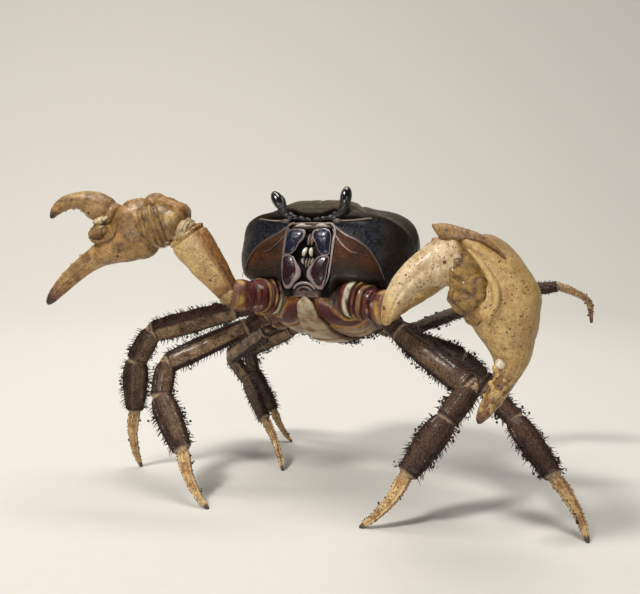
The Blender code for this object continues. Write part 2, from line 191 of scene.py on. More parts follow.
def frame_shift():
    """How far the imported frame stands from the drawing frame, in millimetres, read off the shell's box."""
    low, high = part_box("carapace")
    rearmost = raw_trunk([(0, y, z) for y, z in SHELL_PROFILE])[:, 1].max()
    return np.array(((low.x + high.x) / 2 / MM, high.y / MM - rearmost, 0))


SHIFT = frame_shift()


def trunk(points):
    """Trunk-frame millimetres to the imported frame's millimetres."""
    return raw_trunk(points) + SHIFT


def heading(side, yaw, pitch):
    """Unit direction pointing out to the crab's own side, turned forward by yaw, up by pitch."""
    yaw, pitch = math.radians(yaw), math.radians(pitch)
    out = 1 if side == "left" else -1
    flat = math.cos(pitch)
    return np.array((out * flat * math.cos(yaw), -flat * math.sin(yaw), math.sin(pitch)))


def mirrored(points, side):
    """The same points, turned to the crab's right side where asked."""
    return np.array(points, float) * ((-1, 1, 1) if side == "right" else 1)


# ---------------------------------------------------------------- rings

def surface_normals(grid):
    """Outward unit normals of rings of points: the cross product of the steps along and round."""
    along = np.gradient(grid, axis=0)
    across = (np.roll(grid, -1, axis=1) - np.roll(grid, 1, axis=1)) / 2
    normal = unit(np.cross(along, across))
    outward = ((grid - grid.mean(axis=1, keepdims=True)) * normal).sum()
    return normal if outward > 0 else -normal


def raised(grid, height):
    """The grid moved along its normals."""
    return grid + surface_normals(grid) * np.broadcast_to(height, grid.shape[:2])[..., None]


def turned(angle, middle):
    """Signed angle from middle to angle, from -pi to pi."""
    return (angle - middle + math.pi) % math.tau - math.pi


def stripe(angle, middle, width):
    """Mask of a stripe along a limb at this angle round it."""
    return bell(turned(angle, middle), width)


def rounded(share, least):
    """Quarter circle that rises from near 0 to 1 while share goes from 0 to 1."""
    return np.sqrt(np.maximum(1 - (1 - clamp(share)) ** 2, least))


def rings_round(middle, tall, wide, half_tall, half_wide, count, power=1):
    """Superellipse rings round a centre line, and the angle of each column.

    A ring is its tall and wide axes times the cosine and sine of the angle, each to the power.
    """
    angle = np.arange(count) * math.tau / count
    c, s = (np.sign(v) * np.abs(v) ** power for v in (np.cos(angle), np.sin(angle)))
    grid = middle[:, None] + (half_tall[:, None] * c)[..., None] * tall[:, None]
    return grid + (half_wide[:, None] * s)[..., None] * wide[:, None], angle[None]


def cord_rings(path, radii, count=10, squash=1, out=(0, -1, 0)):
    """Round rings along a smooth path, rounded off at both ends; squash flattens them against out."""
    marks = lengths(path, 1)
    rise = np.linspace(0, math.pi, max(len(path) * 7, 24))
    at = 0.5 - 0.5 * np.cos(rise)
    middle = flow(marks, path, at)
    radius = flow(marks, radii, at) * np.maximum(np.sin(rise), 0.02) ** 0.35
    along = unit(np.gradient(middle, axis=0))
    side = unit(np.cross(along, out))
    return rings_round(middle, side, np.cross(side, along), radius, squash * radius, count)[0]


def ball(centre, axes, radii, folds=0, fold_size=1.5, seed=1, ribs=0, rib_count=0, rows=44, count=56,
         pole=0.03):
    """Egg-shaped lobe on three axes, wrinkled by noise and ribbed lengthwise where asked."""
    polar = np.linspace(pole, math.pi - pole, rows)
    a, b, c = (np.broadcast_to(axis, (rows, 3)) * radius for axis, radius in zip(axes, radii))
    grid = rings_round(centre + np.cos(polar)[:, None] * a, b, c, np.sin(polar), np.sin(polar), count)[0]
    return raised(grid, folds * ripple(grid, fold_size, seed) + ribs * np.cos(polar * rib_count)[:, None])


def ring_quads(rings, count):
    """Corner numbers of the four-sided faces between each ring and the next."""
    k, j = np.meshgrid(np.arange(rings - 1) * count, np.arange(count), indexing="ij")
    n = (j + 1) % count
    return np.stack((k + j, k + n, k + count + n, k + count + j), axis=-1).reshape(-1, 4)


class Pile:
    """Points, faces and masks of one piece, gathered surface by surface."""

    def __init__(self):
        self.points, self.quads, self.triangles, self.masks, self.maps, self.count = [], [], [], [], [], 0

    def add(self, points, quads, triangles, masks, where=None):
        """One more surface; where is each point's place on the bristles' map."""
        self.points.append(points)
        self.quads.append(quads + self.count)
        self.triangles.append(triangles + self.count)
        self.masks.append({name: np.broadcast_to(mask, len(points)) for name, mask in masks.items()})
        self.maps.append(np.zeros((len(points), 2)) if where is None else where)
        self.count += len(points)

    def tube(self, grid, **masks):
        """Rings joined one to the next, with a centre point closing each end."""
        rings, count = grid.shape[:2]
        points = np.concatenate((grid.reshape(-1, 3), grid[[0, -1]].mean(axis=1)))
        quads = ring_quads(rings, count)
        j = np.arange(count)
        n = (j + 1) % count
        top = (rings - 1) * count
        triangles = np.concatenate((np.stack((np.full(count, rings * count), n, j), axis=-1),
                                    np.stack((np.full(count, rings * count + 1), top + j, top + n), axis=-1)))
        a, b, c, d = np.moveaxis(points[quads], 1, 0)
        if ((a - points.mean(axis=0)) * np.cross(c - a, d - b)).sum() < 0:
            quads, triangles = quads[:, ::-1], triangles[:, ::-1]
        for name, mask in masks.items():
            mask = np.broadcast_to(mask, (rings, count))
            masks[name] = np.concatenate((mask.reshape(-1), mask[[0, -1]].mean(axis=1)))
        self.add(points, quads, triangles, masks)
        return self

    def cord(self, path, radii, side="left", count=10, squash=1, **masks):
        """A round cord along a line of trunk-frame points, turned to the right side where asked."""
        return self.tube(trunk(cord_rings(mirrored(path, side), radii, count, squash)), **masks)

    def piece(self, name, material, slot, *nodes):
        """One mesh object of it all, in metres, riding on the crab and standing for the given nodes."""
        quads, triangles = np.concatenate(self.quads), np.concatenate(self.triangles)
        corners = np.concatenate((quads.reshape(-1), triangles.reshape(-1)))
        sizes = np.repeat((4, 3), (len(quads), len(triangles)))
        mesh = bpy.data.meshes.new(name)
        mesh.vertices.add(self.count)
        points = np.concatenate(self.points) * MM
        mesh.vertices.foreach_set("co", points.astype(np.float32).reshape(-1))
        mesh.loops.add(len(corners))
        mesh.loops.foreach_set("vertex_index", corners.astype(np.int32))
        mesh.polygons.add(len(sizes))
        mesh.polygons.foreach_set("loop_start", (np.cumsum(sizes) - sizes).astype(np.int32))
        mesh.update(calc_edges=True)
        mesh.shade_smooth()
        for mask in sorted(set().union(*self.masks)):
            values = np.concatenate([m.get(mask, np.zeros(len(p))) for m, p in zip(self.masks, self.points)])
            mesh.attributes.new(mask, "FLOAT", "POINT").data.foreach_set("value", values.astype(np.float32))
        where = np.concatenate(self.maps)
        if where.any():
            layer = mesh.uv_layers.new(name="OFBake")
            layer.data.foreach_set("uv", where[corners].astype(np.float32).reshape(-1))
        mesh.materials.append(material)
        piece = bpy.data.objects.new(name, mesh)
        bpy.context.scene.collection.objects.link(piece)
        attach(piece, "root")
        if nodes:
            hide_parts(*nodes)


# ---------------------------------------------------------------- shader nodes

class Tree:
    """Short calls that add nodes to one material or group and join them.

    A value may be a socket, a number, a colour, the name of a mask that was worked out with the
    surface, a list whose product is meant, or a pair of colours that the fine patches mix.
    """

    def __init__(self, tree):
        self.tree = tree

    def add(self, kind, inputs=(), **settings):
        """A node with these settings and inputs."""
        node = self.tree.nodes.new(kind)
        for key, value in settings.items():
            setattr(node, key, value)
        for key, value in dict(inputs).items():
            self.feed(node.inputs[key], value)
        return node

    def feed(self, socket, value):
        """Joins a socket to a value, or sets its own where the value is constant."""
        if isinstance(value, str):
            value = self.add("ShaderNodeAttribute", attribute_name=value).outputs["Fac"]
        elif isinstance(value, list):
            value = self.math("MULTIPLY", *value)
        elif isinstance(value, tuple) and len(value) == 2:
            value = self.mix(self.fine, *value)
        if isinstance(value, bpy.types.NodeSocket):
            self.tree.links.new(value, socket)
        elif socket.type == "RGBA":
            socket.default_value = (*value, 1)
        else:
            socket.default_value = value

    def noise(self, size, roughness=0.55, twist=0):
        """Cloudy noise whose patches are about this many millimetres across."""
        inputs = {"Vector": self.place, "Scale": 1 / size, "Detail": 4, "Roughness": roughness,
                  "Distortion": twist}
        return self.add("ShaderNodeTexNoise", inputs).outputs["Fac"]

    def ramp(self, value, low, high, start=0, end=1):
        """S-shaped ramp from start, at low, to end, at high."""
        inputs = {"Value": value, "From Min": low, "From Max": high, "To Min": start, "To Max": end}
        return self.add("ShaderNodeMapRange", inputs, interpolation_type="SMOOTHSTEP").outputs[0]

    def math(self, operation, a, b):
        """One sum, product or other operation on two numbers; sums and differences stay between 0 and 1."""
        clamped = operation in ("ADD", "SUBTRACT")
        return self.add("ShaderNodeMath", {0: a, 1: b}, operation=operation, use_clamp=clamped).outputs[0]

    def mix(self, factor, a, b):
        """Colour a where the factor is zero, colour b where it is one."""
        return self.add("ShaderNodeMix", data_type="RGBA", inputs={0: factor, 6: a, 7: b}).outputs[2]


def effect(name, numbers, outputs):
    """An empty shader node group that takes a place and numbers: its calls, inputs and output sockets."""
    tree = bpy.data.node_groups.new(name, "ShaderNodeTree")
    tree.interface.new_socket("Place", in_out="INPUT", socket_type="NodeSocketVector")
    for label, value in numbers.items():
        socket = tree.interface.new_socket(label, in_out="INPUT", socket_type="NodeSocketFloat")
        socket.default_value = value
    for label in outputs:
        tree.interface.new_socket(label, in_out="OUTPUT", socket_type="NodeSocketFloat")
    t = Tree(tree)
    return t, t.add("NodeGroupInput").outputs, t.add("NodeGroupOutput").inputs


def once(maker):
    """Keeps the group or material that a maker built, so that it is shared."""
    built = []

    def kept():
        """The one that was built."""
        if not built:
            built.append(maker())
        return built[0]
    return kept


@once
def mottling():
    """Two sizes of cloudy patches, one breaking the edges of the other."""
    t, given, out = effect("mottling", {"Scale": 0.2}, ("Patches", "Fine"))
    place, scale = given["Place"], given["Scale"]
    coarse = t.add("ShaderNodeTexNoise", {"Vector": place, "Scale": scale, "Detail": 5, "Distortion": 0.6})
    fine = t.add("ShaderNodeTexNoise", {"Vector": place, "Scale": [scale, 6], "Detail": 4,
                                        "Roughness": 0.6})
    t.feed(out["Patches"], t.ramp(coarse.outputs["Fac"], 0.40, 0.62))
    t.feed(out["Fine"], t.ramp(fine.outputs["Fac"], 0.34, 0.68))
    return t.tree


@once
def granulation():
    """Packed rounded grains of uneven size: their height, and the hollows between them."""
    t, given, out = effect("granulation", {"Scale": 1}, ("Height", "Hollows"))
    cells = t.add("ShaderNodeTexVoronoi", {"Vector": given["Place"], "Scale": given["Scale"],
                                           "Randomness": 0.9}).outputs
    size = t.add("ShaderNodeSeparateColor", {"Color": cells["Color"]}).outputs[0]
    grain = t.ramp(cells["Distance"], 0.05, 0.62, 1, 0)
    t.feed(out["Height"], [grain, t.ramp(size, 0, 1, 0.35, 1)])
    t.feed(out["Hollows"], t.ramp(cells["Distance"], 0.38, 0.7))
    return t.tree


@once
def specks():
    """Scattered round dots of uneven size; Share says how many cells have one."""
    t, given, out = effect("specks", {"Scale": 0.5, "Share": 0.3}, ("Dots",))
    cells = t.add("ShaderNodeTexVoronoi", {"Vector": given["Place"], "Scale": given["Scale"]}).outputs
    split = t.add("ShaderNodeSeparateColor", {"Color": cells["Color"]}).outputs
    edge = t.ramp(split[1], 0, 1, 0.14, 0.38)
    dot = t.add("ShaderNodeMapRange", {"Value": cells["Distance"], "From Min": [edge, 0.55],
                                       "From Max": edge, "To Min": 1, "To Max": 0})
    t.feed(out["Dots"], [dot.outputs[0], t.math("LESS_THAN", split[0], given["Share"])])
    return t.tree


class Paint(Tree):
    """One material: its Principled shader, a place in millimetres, and coarse and fine cloudy patches."""

    def __init__(self, name, scale, roughness=0.5, coat=0, coat_roughness=0.2, specular=0.5):
        self.material = bpy.data.materials.new(name)
        self.material.use_nodes = True
        super().__init__(self.material.node_tree)
        self.shader = self.tree.nodes["Principled BSDF"].inputs
        for key, value in (("Roughness", roughness), ("Coat Weight", coat),
                           ("Coat Roughness", coat_roughness), ("Specular IOR Level", specular)):
            self.shader[key].default_value = value
        where = self.add("ShaderNodeTexCoord").outputs["Object"]
        self.place = self.add("ShaderNodeMapping", {"Vector": where, "Scale": (1 / MM,) * 3}).outputs[0]
        self.patches, self.fine = self.group(mottling, scale)

    def group(self, maker, *values):
        """Outputs of a shared effect with its own values."""
        node = self.add("ShaderNodeGroup", node_tree=maker())
        for socket, value in zip(node.inputs, (self.place, *values)):
            self.feed(socket, value)
        return node.outputs[:]

    def layers(self, ground, *over):
        """A ground colour with others laid over it, each an amount and a colour."""
        for amount, colour in over:
            ground = self.mix(amount, ground, colour)
        return ground

    def cover(self, *layers):
        """The same, as the material's colour."""
        self.feed(self.shader["Base Color"], self.layers(*layers))

    def bump(self, height, depth, strength=1):
        """Feeds a height to the shader, its depth in millimetres, and hands over the finished material."""
        inputs = {"Height": height, "Distance": depth * MM, "Strength": strength}
        self.feed(self.shader["Normal"], self.add("ShaderNodeBump", inputs).outputs[0])
        return self.material


def colours():
    """The colours that a user may change."""
    return bpy.context.scene.crab_colours


@once
def shell_material():
    """Back shell: olive-black, blue-black beside the mouth, rusty below the ridge, all finely granular."""
    t, tone = Paint("shell", 0.11, 0.34, 0, 0.12, 0.10), colours()
    grain, hollows = t.group(granulation, 2)
    # Back: olive patches; grain tops lightened as a painted highlight.
    back = t.layers(t.mix(t.patches, tone.shell_dark, tone.shell_olive * 0.25),
                    ("top", (tone.shell_olive, (0.045, 0.030, 0.014))),
                    (t.ramp(grain, 0.55, 0.9, 0, 0.45), (0.062, 0.050, 0.032)))
    # Blue-black beside the orbits; grain tops lightened as a painted highlight.
    blue = t.mix(t.ramp(grain, 0.6, 0.9, 0, 0.3), ((0.003, 0.0033, 0.006), tone.shell_blue),
                 (0.040, 0.042, 0.052))
    # Rust: lighter orange grain tops, partly grain colour and partly a painted highlight.
    rust = t.layers((tone.shell_rust, (0.042, 0.009, 0.004)), (t.patches, (0.026, 0.009, 0.003)),
                    (t.ramp(grain, 0.5, 0.9, 0, 0.6), (0.19, 0.078, 0.014)))
    # Hollows between grains darkened as painted shade; dark is painted shade in the eye sockets, under the
    # front and in the mouth.
    t.cover(back, ("blue", blue), ("rust", rust), ([hollows, 0.5], (0.006, 0.004, 0.003)),
            ("pale", ((0.26, 0.18, 0.15), (0.12, 0.075, 0.06))), ("dark", (0.004, 0.0035, 0.0035)))
    rough = t.math("ADD", t.ramp(t.fine, 0, 1, 0.26, 0.46), ["dark", 0.3])
    t.feed(t.shader["Roughness"], t.math("SUBTRACT", rough, ["blue", 0.08]))
    t.feed(t.shader["Coat Weight"], ["blue", t.ramp(t.fine, 0.2, 0.8, 0.22, 0.04)])
    return t.bump([grain, "grain"], 0.20)


@once
def mouth_material():
    """Jaw plates: glossy blue-black above, plum-black below, with mauve-grey borders."""
    t = Paint("mouth plates", 0.3, 0.22, 0.2, 0.05, 0.2)
    t.cover((0.016, 0.0025, 0.005), ("upper", (0.006, 0.007, 0.017)),
            ([t.patches, 0.35], (0.012, 0.007, 0.014)),
            ("border", (colours().mouth_border, (0.13, 0.085, 0.085))))
    worn = t.noise(0.5)
    t.feed(t.shader["Roughness"], t.ramp(worn, 0.3, 0.7, 0.16, 0.36))
    return t.bump(worn, 0.08)


@once
def tooth_material():
    """Jaw teeth: ivory, stained brown in the hollows."""
    t = Paint("jaw tooth", 0.6, 0.3, 0.3)
    t.cover((0.62, 0.56, 0.46), (t.patches, (0.42, 0.34, 0.24)), ("border", (0.10, 0.06, 0.035)))
    return t.bump(t.fine, 0.06)


@once
def eye_material():
    """Cornea: near-black, wet, with a faint mesh of facets."""
    t = Paint("cornea", 0.3, 0.10, 0.5, 0.03, 0.4)
    facets, seams = t.group(granulation, 7)
    t.cover((0.003, 0.0028, 0.003), (seams, (0.007, 0.006, 0.006)))
    return t.bump(facets, 0.015, 0.5)


@once
def stalk_material():
    """Eye stalks, feelers and lobes under the front: wet black with brown ends."""
    t = Paint("stalk", 0.35, 0.24, 0.25, 0.06, 0.3)
    t.cover((0.004, 0.004, 0.005), (t.patches, (0.013, 0.010, 0.011)),
            ("border", ((0.30, 0.24, 0.20), (0.13, 0.09, 0.07))))
    return t.bump(t.fine, 0.10)


@once
def ridge_material():
    """Pale crests and lobes of the face: pinkish grey, worn lighter in spots."""
    t = Paint("pale crest", 0.35, 0.34, 0.3)
    t.cover((0.17, 0.10, 0.085), (t.patches, (0.085, 0.045, 0.036)),
            ("white", ((0.42, 0.37, 0.33), (0.26, 0.22, 0.19))), ("dark", (0.014, 0.009, 0.008)))
    return t.bump(t.fine, 0.12)


@once
def claw_material():
    """Claws: ivory, warmed with orange-brown on the upper side, peppered, with brown-black tips."""
    t, tone = Paint("claw", 0.085, 0.42, 0.12, 0.25, 0.4), colours()
    grain, hollows = t.group(granulation, 1.5)
    small, large, blots = (t.group(specks, *dots)[0] for dots in ((0.80, 0.75), (0.36, 0.22), (0.62, 0.9)))
    smears = t.noise(9, 0.6, 1.2)
    pepper = t.ramp(t.noise(1.7, 0.65, 0.8), 0.50, 0.60, 0, 0.65)
    # Ivory, its hollows between grains darkened as painted shade.
    ivory = t.layers(tone.claw_ivory, ([t.patches, 0.75], (0.33, 0.19, 0.058)),
                     ([t.fine, 0.50], (0.33, 0.205, 0.078)), (pepper, (0.27, 0.150, 0.048)),
                     ("pale", ((0.60, 0.49, 0.32), (0.46, 0.34, 0.18))),
                     ([hollows, 0.30], (0.20, 0.115, 0.045)),
                     (t.ramp(smears, 0.54, 0.70, 0, 0.65), (0.25, 0.130, 0.034)))
    # Brown: grain tops lightened as a painted highlight, hollows darkened as painted shade.
    brown = t.layers(tone.claw_brown, (t.ramp(grain, 0.35, 0.85), (0.34, 0.20, 0.066)),
                     (hollows, (0.075, 0.032, 0.010)), ([t.fine, 0.35], (0.20, 0.085, 0.022)))
    dirt = [t.math("MAXIMUM", small, large), t.ramp(smears, 0.38, 0.52)]
    tip = t.math("ADD", "tip", [t.math("SUBTRACT", t.fine, 0.5), t.ramp("tip", 0.02, 0.4)])
    # stain lays real brown stains together with painted shade around the hinges, at the joints and on the
    # undersides.
    t.cover(ivory, (["brown", t.ramp(t.patches, 0, 1, 1, 0.45)], brown),
            (["orange", t.ramp(smears, 0.35, 0.6, 1, 0.7)], ((0.40, 0.185, 0.036), (0.17, 0.055, 0.011))),
            (["golden", t.ramp(smears, 0.40, 0.58, 1, 0.6)], ((0.185, 0.096, 0.020), (0.062, 0.024, 0.005))),
            (t.math("MAXIMUM", dirt, [blots, "speckled"]), (0.042, 0.015, 0.005)),
            (t.ramp(tip, 0.15, 0.6), (0.15, 0.068, 0.026)), (t.ramp(tip, 0.55, 0.95), tone.claw_tip),
            ("stain", ((0.12, 0.040, 0.009), (0.035, 0.012, 0.005))))
    t.feed(t.shader["Roughness"], t.ramp(t.fine, 0, 1, 0.33, 0.52))
    return t.bump(t.math("ADD", [grain, t.ramp("brown", 0, 1, 0.45, 1)], [t.fine, 0.3]), 0.24)


@once
def skin_material():
    """Joint skin between the plates: golden to olive-brown, folded, damp."""
    t = Paint("joint skin", 0.28, 0.38, 0.2, 0.2, 0.4)
    # dark lays painted shade in the folds and creases.
    t.cover((0.27, 0.145, 0.027), (t.patches, (0.12, 0.052, 0.010)), ([t.fine, 0.5], (0.36, 0.22, 0.055)),
            ("white", ((0.58, 0.47, 0.28), (0.40, 0.30, 0.16))), ("dark", (0.050, 0.018, 0.005)))
    return t.bump(t.fine, 0.2)


@once
def base_material():
    """Arm bases: rings of pale green-white, mauve, yellow-brown and maroon."""
    t = Paint("arm base", 0.3, 0.30, 0.16, 0.06, 0.2)
    t.cover((0.100, 0.018, 0.011), (t.patches, (0.036, 0.006, 0.005)),
            ("mauve", ((0.20, 0.105, 0.06), (0.10, 0.045, 0.03))),
            ("yellow", ((0.46, 0.27, 0.055), (0.27, 0.14, 0.03))),
            ("white", ((0.58, 0.56, 0.42), (0.34, 0.33, 0.20))), ("dark", (0.02, 0.009, 0.007)))
    return t.bump(t.fine, 0.14)


@once
def belly_material():
    """Breast plate and folded tail: tan with rusty smears, maroon panels, yellow-brown edges."""
    t = Paint("belly", 0.16, 0.34, 0.16, 0.08, 0.2)
    dots = t.group(specks, 0.75, 0.3)[0]
    pale = t.mix(t.patches, (0.33, 0.27, 0.18), (0.19, 0.125, 0.065))
    t.cover(colours().belly_tan, (t.patches, (0.20, 0.10, 0.05)), ([t.fine, 0.45], (0.10, 0.05, 0.03)),
            ("maroon", ((0.070, 0.006, 0.005), (0.024, 0.0025, 0.003))),
            ("yellow", ((0.40, 0.21, 0.045), (0.22, 0.085, 0.02))), ("pale", pale),
            ([dots, 0.8], (0.04, 0.02, 0.014)), ("dark", (0.018, 0.010, 0.008)))
    return t.bump(t.math("ADD", [t.fine, 0.6], [dots, 0.4]), 0.16)


@once
def leg_material():
    """Walking legs: plum to grey-brown, tan on the smooth faces, dark along the ridges, speckled."""
    t, tone = Paint("leg", 0.14, 0.42, 0.12, 0.16, 0.10), colours()
    grain, hollows = t.group(granulation, 1.3)
    dots = t.group(specks, 0.62, 0.8)[0]
    tan = t.math("MULTIPLY", "tan", t.ramp(t.patches, 0, 1, 1, 0.5))
    # Grain tops lightened as a painted highlight; hollows between grains darkened as painted shade.
    t.cover(tone.leg_plum, (t.patches, tone.leg_grey), ([t.fine, 0.5], (0.035, 0.015, 0.010)),
            (tan, (tone.leg_tan, (0.125, 0.072, 0.040))),
            (t.ramp(grain, 0.45, 0.9, 0, 0.55), (0.17, 0.105, 0.062)),
            ([t.ramp(hollows, 0.2, 0.9, 0, 0.6), t.ramp(tan, 0, 1, 1, 0.3)], (0.016, 0.007, 0.005)),
            ([dots, t.ramp("tan", 0, 1, 0.95, 0.75)], (0.011, 0.005, 0.004)),
            ("dark", (0.016, 0.007, 0.006)), ("pale", ((0.34, 0.25, 0.17), (0.20, 0.13, 0.09))))
    t.feed(t.shader["Roughness"], t.ramp(t.fine, 0, 1, 0.38, 0.6))
    return t.bump([grain, t.ramp("tan", 0, 1, 1, 0.5)], 0.30)


@once
def toe_material():
    """Toes: honey tan with brown furrows and dark tips."""
    t = Paint("toe", 0.25, 0.4, 0.25, 0.2)
    tip = t.math("ADD", "tip", [t.fine, 0.2])
    t.cover(colours().toe_tan, (t.patches, (0.34, 0.17, 0.055)),
            (["furrow", t.ramp(t.patches, 0, 1, 0.35, 0.85)], ((0.17, 0.08, 0.03), (0.07, 0.03, 0.014))),
            ([t.group(specks, 1.1, 0.45)[0], 0.85], (0.045, 0.018, 0.010)), ("plum", (0.07, 0.030, 0.018)),
            (t.ramp(tip, 0.5, 1), (0.040, 0.020, 0.012)))
    return t.bump(t.fine, 0.16)


@once
def bristle_material():
    """Bristles: brown-black, lighter towards the points."""
    t = Paint("bristle", 0.3, 0.42)
    t.cover((0.010, 0.006, 0.005), (t.patches, (0.028, 0.015, 0.011)),
            (t.ramp("tip", 0.5, 1), (0.055, 0.033, 0.022)))
    return t.material


@once
def soil_material():
    """Crumbs of dark soil caught between the bristles."""
    t = Paint("soil", 0.9, 0.85)
    t.cover((0.026, 0.015, 0.010), (t.patches, (0.070, 0.040, 0.026)))
    return t.bump(t.fine, 0.3)


# ---------------------------------------------------------------- shell and face

# pale crests that run down and out from the mouth frame's upper corner, in front view (x, z)
OUTER_CREST = ((10.6, 3.6), (14, 1.4), (18.5, -1.6), (24.5, -4.2), (30.5, -8), (34.6, -12.8),
               (37.2, -17.6), (38.8, -21.6))
INNER_CREST = ((11.6, 1.4), (13.4, -1.6), (16, -5), (19.4, -8.2), (22.8, -10.2), (26, -10.6))
MOUTH_FRAME = ((8.8, 4.2), (12, 3.2), (13, 0.5), (13.1, -6), (13, -14), (12.6, -20),
               (11.8, -24.5), (10.4, -27.5))
ORBIT_MIDDLE, ORBIT_HALF_LENGTH, ORBIT_HALF_HEIGHT, ORBIT_DEPTH = 18.5, 9.5, 1.5, 1.5
# groove between the middle and the side lobes of the back, in top view (y, x)
BACK_GROOVE = ((-27, 25), (-17, 17), (-7, 11), (2, 7.5), (9, 8), (18, 10.5), (30, 12))


def falloff(u, power, root, least=0):
    """One in the middle and least at the side, where u is 1: (1 - u^power)^root."""
    return np.maximum(1 - u ** power, least) ** root


def shell_outline(x, share):
    """Smooth section of the shell at each x: the profile's curve, shrunk towards the rounded side.

    The height shrinks as (1 - u^4.5)^0.385 above and (1 - u^9)^0.4 below, the depth as
    (1 - u^3)^0.42 in front and (1 - u^2.2)^0.52 behind, u being x over the half width. The back is
    lower behind the orbits, and the flanks draw in below.
    """
    base = np.array(SHELL_PROFILE)
    away = np.abs(x)
    u = away / HALF_WIDTH
    rings = np.repeat(base[:, None, :], len(x), axis=1)
    chin = clamp((16.4 - away) / 4.6)
    rings[CHIN, :, 1] = SHELL_FLOOR + (rings[CHIN, :, 1] - SHELL_FLOOR) * chin
    rings[MOUTH, :, 0] += 3 * ramp(MOUTH_HALF_WIDTH + 0.7, MOUTH_HALF_WIDTH - 0.4, away)
    turns = np.concatenate((rings[-2:], rings, rings[:3]))
    marks = lengths(np.concatenate((base[-2:], base, base[:3])))
    marks = (marks - marks[2]) / (marks[-3] - marks[2])
    y, z = np.moveaxis(flow(marks, turns, share), -1, 0)
    shoulder = ramp(12, 27, away) * bell(y + 27, 14) * ramp(9, 16, z)
    y = BROADEST + (y - BROADEST) * np.where(y < BROADEST, falloff(u, 3, 0.42), falloff(u, 2.2, 0.52))
    z = z * np.where(z > 0, falloff(u, 4.5, 0.385), falloff(u, 9, 0.40)) - 6.2 * shoulder
    narrow = 1 - 0.085 * ramp(-6, -24, z) * ramp(14, 40, away)
    return np.stack((x * narrow, y, z), axis=-1)


def profile_shares(counts):
    """Places along the profile, close together on the face and wider apart behind and below."""
    marks = lengths(np.concatenate((SHELL_PROFILE, SHELL_PROFILE[:1])), 1)
    stops = (0, *marks[SPACING_STOPS], 1)
    return np.concatenate([np.linspace(a, b, n, endpoint=False) for a, b, n in zip(stops, stops[1:], counts)])


def face_zones(away, z, ahead):
    """Masks of the face, from how far out and how high it is, and how far the surface looks forward."""
    front = ramp(0.15, 0.5, ahead)
    beside_mouth = ramp(12.8, 14, away)
    below = ramp(0.6, -0.6, z - np.interp(away, *np.transpose(OUTER_CREST)))
    rust = front * beside_mouth * below * ramp(-24, -14, z) * ramp(41, 35, away)
    lower = ramp(-13, -23, z) * front
    orbit_line = 4.2 + 0.16 * np.maximum(away - 12, 0)
    blue = front * beside_mouth * (1 - below) * ramp(0.7, -0.7, z - orbit_line)
    side = np.maximum(ramp(30, 40, away) * ramp(8, -6, z), lower) * (1 - rust)
    blue = blue * ramp(41, 31, away) + 0.25 * side * ramp(-0.5, 0.3, ahead)
    return clamp(blue), rust * (1 - 0.7 * ramp(-10, -23, z))


def orbit_shape(away, z):
    """One in the middle of each eye socket, falling to zero at its rim: a flattened oval."""
    out = away - ORBIT_MIDDLE
    return ramp(1.05, 0.5, np.hypot(out / ORBIT_HALF_LENGTH, (z - 6.2 - 0.10 * out) / ORBIT_HALF_HEIGHT))


